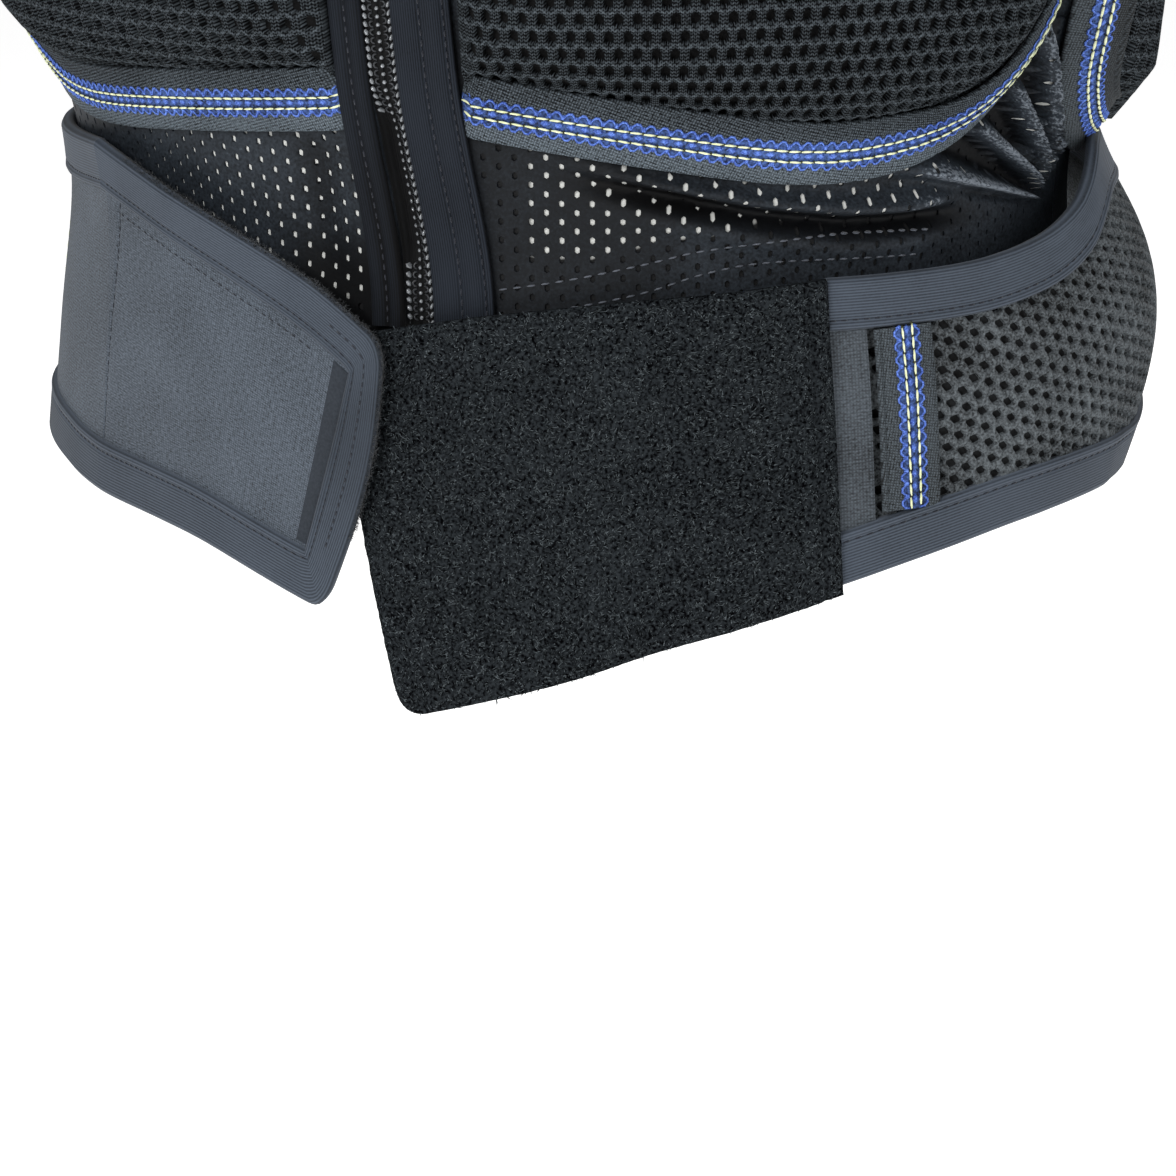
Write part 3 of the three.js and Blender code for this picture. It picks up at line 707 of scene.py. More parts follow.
@dataclass(frozen=True)
class Finish:
    """A cloth, yarn or trim finish."""

    name: str
    dark: Colour
    light: Colour
    weave: Weave = Weave.NAP
    pitch: float = 1.0  # millimetres
    depth: float = 0.2  # millimetres of relief
    turn: float = 0.0  # degrees
    roughness: float = 0.88
    sheen: float = 0.0
    specular: float = 0.3
    patchy: float = 0.25  # share of uneven tone
    lattice: tuple[float, float, float] = (5.0, 4.9, 0.6)  # pitch, row and slope of a net
    shaded: bool = False  # whether the piece's shade attribute paints shade into it
    ridge: Colour | None = None  # painted highlight: the tone where that attribute is below nothing
    spread: float = 0.38  # half the range of relief between the dark and the light tone
    centre: float = 0.5  # middle of that range

    def knit(self, w: Wiring, place: Socket) -> Socket:
        """Small chevrons in upright rows."""
        across = w.add("SeparateXYZ", {0: place}).outputs[0]
        slant = w.math("PINGPONG", across, self.pitch / 2)
        phase = w.math("MULTIPLY", slant, 2 * math.pi / self.pitch)
        stitch = w.wave(place, self.pitch, "Y", phase)
        wale = w.wave(place, self.pitch / 2, "X")
        return w.math("MULTIPLY_ADD", stitch, 0.6, w.math("MULTIPLY", wale, 0.4))

    def braid(self, w: Wiring, place: Socket) -> Socket:
        """Broken strokes that zigzag between the rows of a net's holes, over chain stitches; in the colour
        they are painted highlights on the strands.
        """
        pitch, row, slope = self.lattice
        parts = w.add("SeparateXYZ", {0: place})
        x, y = parts.outputs[0], parts.outputs[1]
        slide = w.math("PINGPONG", x, pitch / 2)
        zigzag = w.math("MULTIPLY_ADD", slide, slope, -slope * pitch / 4)
        swing = w.math("SINE", w.math("MULTIPLY", y, math.pi / row))
        across = w.math("MULTIPLY_ADD", zigzag, swing, y)
        gap = w.math("SUBTRACT", row / 2, w.math("PINGPONG", across, row / 2))
        ridge = w.math("MAXIMUM", w.math("MULTIPLY_ADD", gap, -1.25, 1.0), 0.0)
        from_slope = w.math("ABSOLUTE", w.math("MULTIPLY_ADD", slide, 4 / pitch, -1.0))
        stroke = w.math("MULTIPLY", ridge, w.math("MULTIPLY_ADD", from_slope, -0.75, 1.0))
        rope = w.math("MULTIPLY", stroke, w.math("MULTIPLY_ADD", w.grain(place, 0.8, 0.8), 2.6, -0.6))
        fuzz = w.math("MULTIPLY_ADD", w.grain(place, 0.7, 0.7), 1.4, -0.1)
        stitch = w.math("MULTIPLY", self.knit(w, place), fuzz)
        return w.math("MULTIPLY_ADD", stitch, 0.9, w.math("MULTIPLY", rope, 0.55))

    def relief(self, w: Wiring) -> Socket:
        """Height of the fine texture from 0 to 1."""
        if self.weave is Weave.NAP:
            return w.noise(1000 / self.pitch, 3.0)
        place = w.flat_place(self.turn)
        if self.weave is Weave.RIB:
            bands = w.wave(place, self.pitch, "Y")
            return w.math("MULTIPLY_ADD", w.noise(1400), 0.35, w.math("MULTIPLY", bands, 0.75))
        if self.weave is Weave.NET:
            return self.braid(w, place)
        # stretch of the rows, grain along and across, strength and offset of the crossing threads
        stretch, along, across, strength, offset = (
            (1.2, 0.9, 0.55, 0.45, -0.12) if self.weave is Weave.TWILL else (1.0, 1.4, 0.6, 0.3, -0.08)
        )
        rows = w.wave(place, self.pitch * stretch, "Y")
        crossed = w.math("MULTIPLY", w.wave(place, self.pitch, "X"), rows)
        threads = w.math("MULTIPLY_ADD", crossed, strength, offset)
        return w.math("MULTIPLY_ADD", w.grain(place, along, across), 1.0, threads)

    @cached_property
    def material(self) -> bpy.types.Material:
        """The finish as a Blender material."""
        w = Wiring(self.name)
        relief = self.relief(w)
        uneven = w.math("MULTIPLY_ADD", w.noise(45, 4.0), 2 * self.patchy, -self.patchy)
        # The relief is painted into the colour as well: partly the texture's own pattern, partly painted
        # light and shade, crests lighter and hollows darker.
        share = w.math("ADD", relief, uneven)
        # The shade attribute paints shade by scaling the share down; below nothing it paints a highlight.
        if self.shaded:
            shade = w.add("Attribute", attribute_name="shade").outputs["Fac"]
            share = w.math("MULTIPLY", share, w.math("SUBTRACT", 1.0, shade))
        low, high = max(0.0, self.centre - self.spread), min(1.0, self.centre + self.spread)
        stops = w.colour(share, (low, self.dark), (high, self.light))
        # Stops for the painted shade, near black, and for the painted highlight.
        if self.shaded:
            stops.new(0.0).color = linear((3, 3, 4))
            stops.new(1.0).color = linear(self.ridge or self.light)
        bump = w.add("Bump", {"Height": relief, "Distance": self.depth * MM, "Strength": 1.0})
        w.tree.links.new(bump.outputs["Normal"], w.shader.inputs["Normal"])
        w.look({"Roughness": self.roughness, "Specular IOR Level": self.specular})
        w.look({"Sheen Weight": self.sheen, "Sheen Roughness": 0.5})
        return w.material


@dataclass(frozen=True)
class HoleLightFinish:
    """What shows in the holes of the vest: painted light and shade, pale where light shows through and dark
    where it doesn't, by the cloth's tone attribute.
    """

    name: str
    dark: Colour
    light: Colour

    @cached_property
    def material(self) -> bpy.types.Material:
        """The finish as a Blender material."""
        w = Wiring(self.name)
        tone = w.add("Attribute", attribute_name="tone").outputs["Fac"]
        uneven = w.math("MULTIPLY_ADD", w.noise(260), 0.5, -0.25)
        w.colour(w.math("ADD", tone, uneven), (0.3, self.dark), (0.75, self.light))
        w.look({"Roughness": 0.9})
        return w.material


AnyFinish = Finish | HoleLightFinish
# Its ridge colour is a painted highlight on the crests of the folds, and its shade attribute paints shade.
VEST_CLOTH = Finish(
    "vest_cloth", (16, 19, 23), (45, 51, 58),
    pitch=0.9, depth=0.08, roughness=0.6, specular=0.16, shaded=True, ridge=(106, 113, 121), spread=0.25,
)
# Painted light in the holes' floors: pale for light showing through, dark for shade.
VEST_HOLE_LIGHT = HoleLightFinish("vest_backing", (3, 4, 6), (206, 207, 203))
NET_STRAND = Finish(
    "net_strand", (3, 4, 5), (92, 100, 106), Weave.NET,
    depth=0.45, specular=0.08, lattice=(4.3, 5.0, 0.75), centre=0.58, spread=0.42, patchy=0.06,
)
NET_PIT = Finish("net_pit", (3, 3, 4), (10, 10, 11), pitch=0.7)
BELT_STRAND = Finish(
    "belt_strand", (11, 12, 13), (94, 100, 104),
    pitch=0.75, depth=0.4, spread=0.2, patchy=0.2,
)
BELT_PIT = Finish("belt_pit", (3, 3, 4), (34, 36, 38), pitch=2.6, spread=0.2, centre=0.6)
WEBBING = Finish(
    "webbing", (15, 17, 19), (104, 114, 122), Weave.TWILL,
    pitch=0.75, depth=0.25, turn=12, specular=0.12, spread=0.28, patchy=0.1, shaded=True,
)
# A copy of the webbing with painted shade, for the side pads' tapes and the belt's tapes, which lie in more
# shade.
WEBBING_SHADED = Finish(
    "webbing_dark", (10, 11, 12), (78, 86, 92), Weave.TWILL,
    pitch=0.75, depth=0.25, turn=12, spread=0.28, patchy=0.1, shaded=True,
)
BLUE_YARN = Finish("blue_yarn", (34, 56, 138), (112, 147, 232), pitch=0.5, patchy=0.15, spread=0.2)
# A shaded copy of the blue yarn: painted shade for the gaps between the crochet loops.
SHADED_BLUE_YARN = Finish("shaded_blue_yarn", (14, 22, 48), (76, 104, 166), pitch=0.9, spread=0.2)
OLIVE_YARN = Finish("olive_yarn", (22, 24, 16), (66, 70, 44), pitch=0.6, depth=0.1)
LIME_YARN = Finish("lime_yarn", (190, 198, 132), (250, 253, 226), pitch=0.6, depth=0.1, patchy=0.2)
SLATE_BINDING = Finish(
    "slate_binding", (38, 44, 52), (70, 78, 89), Weave.RIB,
    pitch=0.86, depth=0.06, sheen=0.05, shaded=True,
)
SLATE_KNIT = Finish(
    "slate_knit", (30, 34, 39), (90, 99, 110), Weave.CANVAS,
    pitch=0.85, sheen=0.05, spread=0.27, patchy=0.12,
)
SLATE_STRIP = Finish("slate_strip", (26, 30, 36), (46, 52, 60), pitch=0.8, depth=0.05, sheen=0.04)
SLATE_CANVAS = Finish(
    "slate_canvas", (18, 20, 22), (82, 89, 96), Weave.CANVAS, pitch=0.95, sheen=0.03, spread=0.34
)
FACING = Finish(
    "facing", (13, 16, 21), (33, 38, 46), Weave.RIB,
    pitch=0.7, depth=0.05, specular=0.16, shaded=True,
)
ZIP_TAPE = Finish("zip_tape", (4, 4, 5), (13, 14, 16), Weave.RIB, pitch=0.5, depth=0.1)
ZIP_BEAD = Finish(
    "zip_bead", (74, 77, 81), (150, 154, 158),
    pitch=0.8, depth=0.01, roughness=0.12, specular=1.0,
)
ZIP_COIL = Finish("zip_coil", (20, 21, 23), (84, 87, 91), pitch=0.8, depth=0.02, roughness=0.3)
LOOP_PILE = Finish(
    "loop_pile", (1, 1, 2), (40, 44, 47),
    pitch=0.9, depth=0.9, roughness=1.0, specular=0.02, spread=0.14, patchy=0.05,
)
LOOP_HAIR = Finish(
    "loop_hair", (2, 3, 4), (100, 108, 112),
    pitch=1.2, depth=0.05, roughness=0.9, specular=0.05, spread=0.13, patchy=0.04,
)
HOOK_PILE = Finish("hook_pile", (10, 11, 12), (34, 36, 39), pitch=0.7, depth=0.4)
HOOK_HAIR = Finish("hook_hair", (14, 15, 16), (96, 99, 102), pitch=1.2, depth=0.05, spread=0.25)
DARK_THREAD = Finish("dark_thread", (18, 20, 27), (40, 44, 54), pitch=0.5, depth=0.05, sheen=0.15)
PALE_THREAD = Finish("pale_thread", (58, 62, 70), (98, 103, 112), pitch=0.5, depth=0.05, sheen=0.15)


# Pieces


@dataclass
class Piece:
    """A finished object, with its lay, its finishes and the CAD parts that it stands for."""

    name: str
    mesh: bpy.types.Mesh
    lay: Lay
    finishes: Sequence[AnyFinish]
    slot: str
    nodes: Sequence[str] = ()
    weld: bool = False
    marks: dict[str, Callable[[Array, Array], Array]] = field(default_factory=dict)

    @classmethod
    def cut(cls, name: str, bm: BMesh, *rest: object, **named: object) -> Object:
        """Makes a piece from a flat bmesh, which is freed."""
        mesh = bpy.data.meshes.new(name)
        bm.to_mesh(mesh)
        bm.free()
        return cls(name, mesh, *rest, **named).dress()

    @classmethod
    def strewn(cls, name: str, parts: Sequence[Pair], *rest: object) -> Object:
        """Makes a piece from repeated shapes, each part taking the finish of its own number."""
        mesh = bpy.data.meshes.new(name)
        points, faces = joined(parts)
        mesh.from_pydata(points.tolist(), [], faces.tolist())
        finish = np.repeat(np.arange(len(parts)), [len(f) for _, f in parts])
        mesh.polygons.foreach_set("material_index", finish.astype(np.int32))
        return cls(name, mesh, *rest).dress()

    @classmethod
    def stitches(
        cls, name: str, at: Array, size: Sequence[float], turn: Array | float,
        lay: Lay, finish: Finish, slot: str,
    ) -> Object:
        """Makes a piece of stitches at flat places."""
        part = Shape.grain().repeat(at, np.array(size), turn)
        return cls.strewn(name, [part], lay, (finish,), slot)

    def dress(self) -> Object:
        """Lays the flat mesh on the body, gives it its finishes, parents it to the root and hides the CAD
        parts that it stands for.
        """
        mesh = self.mesh
        flat = np.zeros(len(mesh.vertices) * 3, np.float32)
        mesh.vertices.foreach_get("co", flat)
        flat = flat.reshape(-1, 3).astype(float)
        corner = np.zeros(len(mesh.loops), np.int32)
        mesh.loops.foreach_get("vertex_index", corner)
        mesh.uv_layers.new(name=UV_NAME).data.foreach_set("uv", flat[corner, :2].astype(np.float32).ravel())
        for name, mark in self.marks.items():
            values = mesh.attributes.new(name, "FLOAT", "POINT")
            values.data.foreach_set("value", mark(flat[:, 0], flat[:, 1]).astype(np.float32))
        mesh.vertices.foreach_set("co", self.lay.points(flat).astype(np.float32).ravel())
        bm = bmesh.new()
        bm.from_mesh(mesh)
        if self.weld:
            bmesh.ops.remove_doubles(bm, verts=bm.verts[:], dist=1e-6)
        bmesh.ops.recalc_face_normals(bm, faces=bm.faces[:])
        bm.to_mesh(mesh)
        bm.free()
        mesh.polygons.foreach_set("use_smooth", np.full(len(mesh.polygons), True))
        for finish in self.finishes:
            mesh.materials.append(finish.material)
        mesh.update()
        made = bpy.data.objects.new(self.name, mesh)
        bpy.context.scene.collection.objects.link(made)
        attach(made, "root")
        if self.nodes:
            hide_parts(*self.nodes)
        LOG.info("%s: %d faces", self.name, len(mesh.polygons))
        return made


class Side(Enum):
    """The wearer's two sides."""

    LEFT = "left"
    RIGHT = "right"

    @property
    def sign(self) -> float:
        """1 on the left, where x is positive."""
        return 1.0 if self is Side.LEFT else -1.0


# Vest


@dataclass(frozen=True)
class ZipLine:
    """The line of the front zip, which leans towards the wearer's left at its foot."""

    lean: float = 2.4
    lean_from: float = 40.0
    lean_to: float = -34.0
    foot: float = -34.0
    head: float = 306.0

    def middle(self, height: Array, side: Side) -> Array:
        """Angle of the zip's middle at a height, on a side."""
        run = self.lean_from - self.lean_to
        return side.sign * self.lean * fade(self.lean_from - height, 0, run)

    def where(self, side: Side) -> Callable[[Array, Array], Pair]:
        """Where of a piece with x up the zip from its foot and y out from its middle."""

        def place(x: Array, y: Array) -> Pair:
            """Angle and height of a flat place."""
            height = self.foot + x
            middle = self.middle(height, side)
            return middle + y / FORM.scale(middle, height)[0], height

        return place


ZIP_LINE = ZipLine()


@dataclass(frozen=True)
class BeltForm:
    """Edges, lifts and thickness of the lumbar belt round the body."""

    sections: tuple[tuple[float, ...], ...] = (
        # angle, top, bottom, lift at the top, lift at the bottom, bulge, thickness
        (34, -21.5, -112, 9, 9, 0, 4.5),
        (44, -21.3, -108, 9.5, 9.5, 0, 4.5),
        (55, -21.9, -102.3, 10, 10, 1, 5),
        (66, -21.8, -98, 11.5, 11, 3, 6),
        (74, -19.6, -96.5, 13.2, 12, 5, 7),
        (79.5, -16, -96.2, 14.5, 12.5, 6.5, 8),
        (84, -10.5, -96.3, 15, 13, 8, 8),
        (87, -4, -96.3, 14.2, 13.5, 9.5, 8),
        (90, 1.5, -96.3, 12, 13, 12, 8),
        (94, 4, -96.3, 9.5, 13, 14, 8),
        (101, 3, -96, 8, 12, 15, 8),
        (115, 2, -95.5, 8, 12, 15, 8),
        (135, 2, -95, 10.5, 13, 9, 8),
        (158, 3, -95, 11.5, 12.5, 4, 8),
        (180, 4, -95, 10.8, 12, 2, 8),
        (202, 3, -95, 11.5, 12.5, 4, 8),
        (225, 2, -95, 11.5, 13, 6, 8),
        (248, 2, -95, 10, 14, 4, 6.8),
        (270, 2, -93.5, 6.8, 12.6, 2, 4.2),
        (290, 3.5, -92, 5.2, 11.6, 0, 3),
        (305, 5.5, -93, 5.2, 11, 0, 3),
        (313, 7.6, -94.5, 7, 11.4, 0, 3),
        (319, 9.6, -95.5, 10, 12, 0, 3),
    )

    @cached_property
    def curves(self) -> Array:
        """Closely sampled sections, each column smoothed along the belt by itself."""
        return spline(self.sections)

    def column(self, angle: Array, index: int) -> Array:
        """One column of the sections at an angle."""
        return np.interp(angle, self.curves[:, 0], self.curves[:, index])

    def top(self, angle: Array) -> Array:
        """Height of the top edge."""
        return self.column(angle, 1)

    def bottom(self, angle: Array) -> Array:
        """Height of the bottom edge."""
        return self.column(angle, 2)

    def outer(self, angle: Array, height: Array) -> Array:
        """Lift of the outer face, fullest between the edges."""
        low, high = self.bottom(angle), self.top(angle)
        share = np.clip((height - low) / (high - low), 0, 1)
        lift = lerp(self.column(angle, 4), self.column(angle, 3), share)
        return lift + self.column(angle, 5) * np.sin(np.pi * share)

    def inner(self, angle: Array, height: Array) -> Array:
        """Lift of the inner face, which stays off the vest."""
        outer = self.outer(angle, height)
        edge = np.minimum(height - self.bottom(angle), self.top(angle) - height)
        thick = self.column(angle, 6)
        thick = np.minimum(thick, np.maximum(2.4, thick * lerp(0.3, 1.0, fade(edge, 2, 16))))
        return np.maximum(outer - thick, np.minimum(outer - 2.2, ON_FABRIC))


BELT = BeltForm()


@dataclass(frozen=True)
class PadEdges:
    """Paths of the tapes that edge the pads."""

    left_corner: float = -10.0
    right_corner: float = 4.0
    left_facing: float = 17.5
    right_facing: float = 9.5
    front_low: float = 22.5
    far_angle: float = 78.0
    tuck: float = 1.3  # degrees by which a front tape runs under the facing

    def zip_side(self, side: Side) -> float:
        """Angle at which a front pad meets the zip facing."""
        width = self.left_facing if side is Side.LEFT else self.right_facing
        distance = CHAIN_EDGE + width + 0.8
        height = np.array([self.front_low])
        middle = ZIP_LINE.middle(height, side)
        return float((middle + distance / FORM.scale(middle, height)[0])[0])

    def front(self, side: Side) -> EdgePath:
        """The front pad's tape, from the zip round to the zip."""
        near = self.zip_side(side) - self.tuck
        low = self.left_corner if side is Side.LEFT else self.right_corner
        far = self.far_angle
        lower = ((near, self.front_low, 0), (far, low, 105))
        return EdgePath((*lower, (far, 200, 60), (48, 292, 22), (near, 302, 0)))

    def flank(self) -> EdgePath:
        """The side pad's tape."""
        corners = ((112, -3, 0), (134, -3, 30), (134, 205, 26), (80.0, 205, 26), (80.0, -3, 56))
        return EdgePath(corners, closed=True)

    def back(self) -> EdgePath:
        """The back pad's tape."""
        corners = ((180, 8, 0), (219, 8, 45), (219, 335, 60), (141, 335, 60), (141, 8, 45))
        return EdgePath(corners, closed=True)


PAD_EDGES = PadEdges()


@dataclass
class Vest:
    """The perforated vest with its bound neckline and armholes."""

    fabric: float = 1.2
    hem: float = -38.0
    hole_pitch: float = 8.2
    hole_row: float = 2.7
    hole_edge: float = 1.0
    hole_across: float = 0.175
    hole_up: float = 0.68
    hole_depth: float = 0.75
    gathered_hole: tuple[float, float] = (0.115, 0.5)  # shares of the cell where the cloth is gathered
    gathers: tuple[float, float] = (62.0, 40.0)  # angle past which, and height under which, it is gathered
    refined: tuple[float, ...] = (12.0, 91.0, -34.0, 42.0)  # angles and heights between which cells split
    hem_rows: tuple[Table, ...] = (
        # angle and height along each row of stitches
        ((10.8, -22.5), (18, -19.5), (27, -15.0), (34, -11.5), (45, -9.5), (62, -11.5)),
        ((10.8, -30.0), (19, -27.0), (27, -23.0), (34, -18.0), (42, -16.0), (60, -18.0)),
    )
    hem_pitch: float = 3.9
    plain_tone: float = 0.5
    pit_top: float = 100.0  # height in front above which the holes are flat
    neck_half_width: float = 76.0
    neck_shoulder: float = 424.0
    neck_drop: tuple[float, float] = (104.0, 36.0)  # front, back
    armpit: float = 232.0
    armhole_top: float = 381.0
    armhole_reach: tuple[float, float] = (60.0, 46.0)  # front, back
    armhole_roundness: float = 0.6
    binding_width: float = 12.0
    made: dict[str, Object] = field(default_factory=dict)

    def neckline(self, share: Array, back: bool) -> Array:
        """Angle and height of the neckline, from the middle to the shoulder."""
        turn = np.radians(90 * np.asarray(share, float))
        height = self.neck_shoulder - self.neck_drop[back] * np.cos(turn)
        out = np.clip(self.neck_half_width * np.sin(turn) / FORM.column(height, 1), 0, 1)
        angle = np.degrees(np.arcsin(out))
        if back:
            angle = 180 - angle
        else:
            angle = np.maximum(angle, CHAIN_EDGE / FORM.scale(0 * height, height)[0])
        return np.stack([np.where(np.asarray(share) == 1, 90.0, angle), height], 1)

    def armhole(self, share: Array, back: bool) -> Array:
        """Angle and height of the armhole, from the armpit to the shoulder."""
        height = lerp(self.armpit, self.armhole_top, np.asarray(share, float))
        bow = np.maximum(0, np.sin(np.pi * share)) ** self.armhole_roundness
        depth = FORM.column(height, 3 if back else 2)
        angle = np.degrees(np.arccos(self.armhole_reach[back] * bow / depth))
        return np.stack([180 - angle if back else angle, height], 1)

    @staticmethod
    def eased(count: int) -> Array:
        """Shares from 0 to 1, closest together at both ends."""
        return (1 - np.cos(np.linspace(0, np.pi, count))) / 2

    @staticmethod
    def climb(height: Array) -> Array:
        """Distance up the body to a height."""
        return np.interp(height, FORM.climb[:, 0], FORM.climb[:, 1])

    @staticmethod
    def height(climb: Array) -> Array:
        """Height at a distance up the body."""
        return np.interp(climb, FORM.climb[:, 1], FORM.climb[:, 0])

    def outline(self, side: Side, back: bool) -> Outline:
        """A panel's flat outline, with x the angle and y the distance up the body."""
        top = self.neckline(np.array([0.0]), back)[0]
        rise = np.linspace(self.hem, top[1], 60)[:-1]
        if back:
            middle = np.full_like(rise, 180 - 0.05)
        else:
            angle = ZIP_LINE.middle(rise, side)
            middle = angle + CHAIN_EDGE / FORM.scale(angle, rise)[0]
        fall = np.linspace(self.armpit, self.hem, 40)[1:]
        lines = (
            np.stack([middle, rise], 1),
            self.neckline(self.eased(40), back),
            self.armhole(self.eased(60)[::-1], back),
            np.stack([np.full_like(fall, 90.0), fall], 1),
        )
        angle, height = np.vstack(lines).T
        return Outline(np.stack([angle * FLAT, self.climb(height)], 1))

    @staticmethod
    def folds(angle: Array, height: Array, side: Side) -> Array:
        """Lift of the folds where the belt and the pads gather the vest."""
        sway = 0.5 * np.sin(angle / 7.0 + height / 31.0) + 0.4 * np.sin(angle / 3.1 - height / 19.0 + 1.0)
        if side is Side.RIGHT:
            dip = -2.4 * hump(angle - 9.5, 3.0) * fade(height, -30, -5)
            swell = 1.3 * hump(angle - 24, 9.0)
            zone = fade(height, 26, 14) * fade(angle, 70, 55)
            return sway * 0.6 + (dip + swell) * zone
        edge = PAD_EDGES.front(side).flat
        edge = edge[edge[:, 1] < 60]
        tape = np.interp(angle, edge[:, 0] / FLAT, edge[:, 1])
        free = fade(tape - height, -1.0, 5.0)
        from_crease = height - Vest.crease(angle)
        pleats = ((-5.6, 1.2, 3.0), (5.2, -4.2, 3.0), (1.8, 7, 4))  # lift, place below the crease, width
        pleat = sum(lift * hump(from_crease + below, width) for lift, below, width in pleats)
        pleat *= fade(angle, 13, 32) * fade(angle, 70, 58)
        reach, bearing = Vest.fan_place(angle, height)
        phase = np.radians((bearing - 19.0) * 360 / 14.5)
        wave = np.cos(phase) + 0.3 * np.cos(2 * phase) - 0.1
        size = 5.6 * fade(reach, 2, 30) * fade(reach, 118, 76)
        fan = wave * size * fade(bearing, 10, 20) * fade(bearing, 94, 78)
        flank = PAD_EDGES.flank().flat
        flank = flank[(flank[:, 0] < 107 * FLAT) & (flank[:, 1] < 150)]
        flank = flank[np.argsort(flank[:, 1])]
        free *= fade(np.interp(height, flank[:, 1], flank[:, 0] / FLAT) - angle, -0.6, 2.0)
        return sway * 0.5 * free + free * (pleat + fan)

    @staticmethod
    def fan_place(angle: Array, height: Array) -> Pair:
        """Distance and bearing from the place at the belt where the gathers meet."""
        run, rise = (89.0 - angle) * FLAT * 0.9, height + 15.0
        return np.hypot(run, rise), np.degrees(np.arctan2(rise, run))

    @staticmethod
    def crease(angle: Array) -> Array:
        """Height of the deep crease under the left front tape."""
        return np.interp(angle, (14, 26, 33, 40, 50, 58, 66), (14, 6.5, 2.0, -2.0, -6.0, -7.0, -6.5))

    def shade(self, angle: Array, height: Array, side: Side, back: bool) -> Array:
        """Painted shade on the cloth in the folds' valleys, under the crease and beside the zip; where it
        is below nothing, a painted highlight on the gathered ridges.
        """
        if back:
            return 0 * angle
        ridge = self.folds(angle, height, side)
        # painted shade in the folds' valleys
        shade = fade(-ridge, 0.2, 3.6) * 0.85
        if side is Side.LEFT:
            # painted shadow under the overhang of the crease
            near = hump(height - self.crease(angle) + 2.4, 3.8)
            near = near * fade(angle, 14, 34) * fade(angle, 74, 62)
            # painted highlight on the gathered ridges
            pale = 0.8 * fade(ridge, 1.2, 5.0) * fade(angle, 54, 64)
            # painted shade beside the zip, less the painted highlight
            shade = np.maximum(shade, 0.88 * near) + (0.5 * fade(angle, 38, 24) - pale)
        else:
            # painted shadow low beside the zip, between the facing and the tab
            shade = np.maximum(shade, 0.9 * fade(height, 4, -22) * fade(angle, 18, 10))
        return shade * fade(height, 60, 40)

    def covered(self, angle: Array, height: Array, side: Side, back: bool) -> Array:
        """Which places lie under a pad, a tape, the facing or the belt."""
        flat = np.stack([angle * FLAT, height], 1)
        hidden = Outline(PAD_EDGES.flank().flat[:-1]).inside(flat)
        hidden |= self.near_edge(angle, height, back) < self.binding_width
        if back:
            return hidden | Outline(PAD_EDGES.back().flat[:-1]).inside(flat) | (height < -2)
        hidden |= Outline(PAD_EDGES.front(side).flat).inside(flat)
        middle = ZIP_LINE.middle(height, side)
        from_zip = (angle - middle) * FORM.scale(angle, height)[0]
        facing = PAD_EDGES.left_facing if side is Side.LEFT else PAD_EDGES.right_facing
        hidden |= from_zip < CHAIN_EDGE + facing + 1.5
        if side is Side.LEFT:
            cover = np.interp(angle, (0, 46, 72, 80, 88), (-36, -28, -27, -14, -6))
        else:
            cover = np.interp(angle, (0.8, 8, 18, 30, 41, 60, 90), (-42, -30, -17, -6, 1, 1, -3))
        return hidden | (height < cover)

    def near_edge(self, angle: Array, height: Array, back: bool) -> Array:
        """Rough distance from the neckline and the armhole."""
        shares = np.linspace(0, 1, 80)
        edge = np.vstack([self.neckline(shares, back), self.armhole(shares, back)])
        flat = np.stack([angle * FLAT, self.climb(height)], 1)
        far = np.stack([edge[:, 0] * FLAT, self.climb(edge[:, 1])], 1)
        parts = np.array_split(flat, 8)
        gaps = [np.min(np.linalg.norm(p[:, None] - far[None], axis=-1), axis=1) for p in parts]
        return np.concatenate(gaps)

    def tone(self, angle: Array, height: Array, side: Side, back: bool) -> Array:
        """How pale the holes are painted, as light that shows through the perforations: palest where the
        cloth lies close to the body, dark where shade falls behind them.
        """
        if back:
            return 0 * angle + self.plain_tone
        if side is Side.RIGHT:
            tone = fade(angle, 44, 30) * fade(height, -34, -20)
        else:
            low = np.interp(angle, (8, 22, 28, 40, 55, 70, 90), (-13, -13, -9, -5, -6, -4, -10))
            tone = fade(height - low, -1.5, 1.5) * fade(angle, 13.5, 15.5)
            ridge = self.folds(angle, height, side)
            _, bearing = self.fan_place(angle, height)
            tone *= np.where(angle > 56, fade(ridge, 6.0, 3.2) * fade(bearing, 70, 60), 1.0)
        return lerp(tone, self.plain_tone, fade(height, 60, 90))

    def panel(self, side: Side, back: bool) -> None:
        """Cuts, perforates and lays one panel."""
        name = f"vest_{'back' if back else 'front'}_{side.value}"
        outline = self.outline(side, back)
        bm = honeycomb(outline, self.hole_pitch, self.hole_row, self.hole_edge)
        whole = [f for f in thicken(bm) if len(f.verts) == 6]
        centres = np.array([f.calc_center_median()[:2] for f in whole])
        height = self.height(centres[:, 1])
        hidden = self.covered(centres[:, 0] / FLAT, height, side, back)
        cell = self.hole_pitch * self.hole_row
        holes = [f for f, under in zip(whole, hidden) if not under and f.calc_area() > 0.98 * cell]
        gathered = set()
        if side is Side.LEFT and not back:
            first, top = self.gathers[0] * FLAT, self.climb(self.gathers[1])
            spots = {f: f.calc_center_median() for f in holes}
            gathered = {f for f, spot in spots.items() if first < spot.x and spot.y < top}
        sink(bm, [f for f in holes if f in gathered], *self.gathered_hole, 0.0)
        sink(bm, [f for f in holes if f not in gathered], self.hole_across, self.hole_up, 0.0)
        for e in {e for f in holes for e in f.edges}:
            e.smooth = False
        pits = [f for f in holes if not back and f.calc_center_median().y < self.climb(self.pit_top)]
        sink(bm, pits, 0.92, 0.92, self.hole_depth)
        for f in holes:
            f.material_index = 1
        if side is Side.LEFT and not back:
            self.refine(bm)

        def where(x: Array, y: Array) -> Pair:
            """Angle and height of a flat place."""
            return x / FLAT, self.height(y)

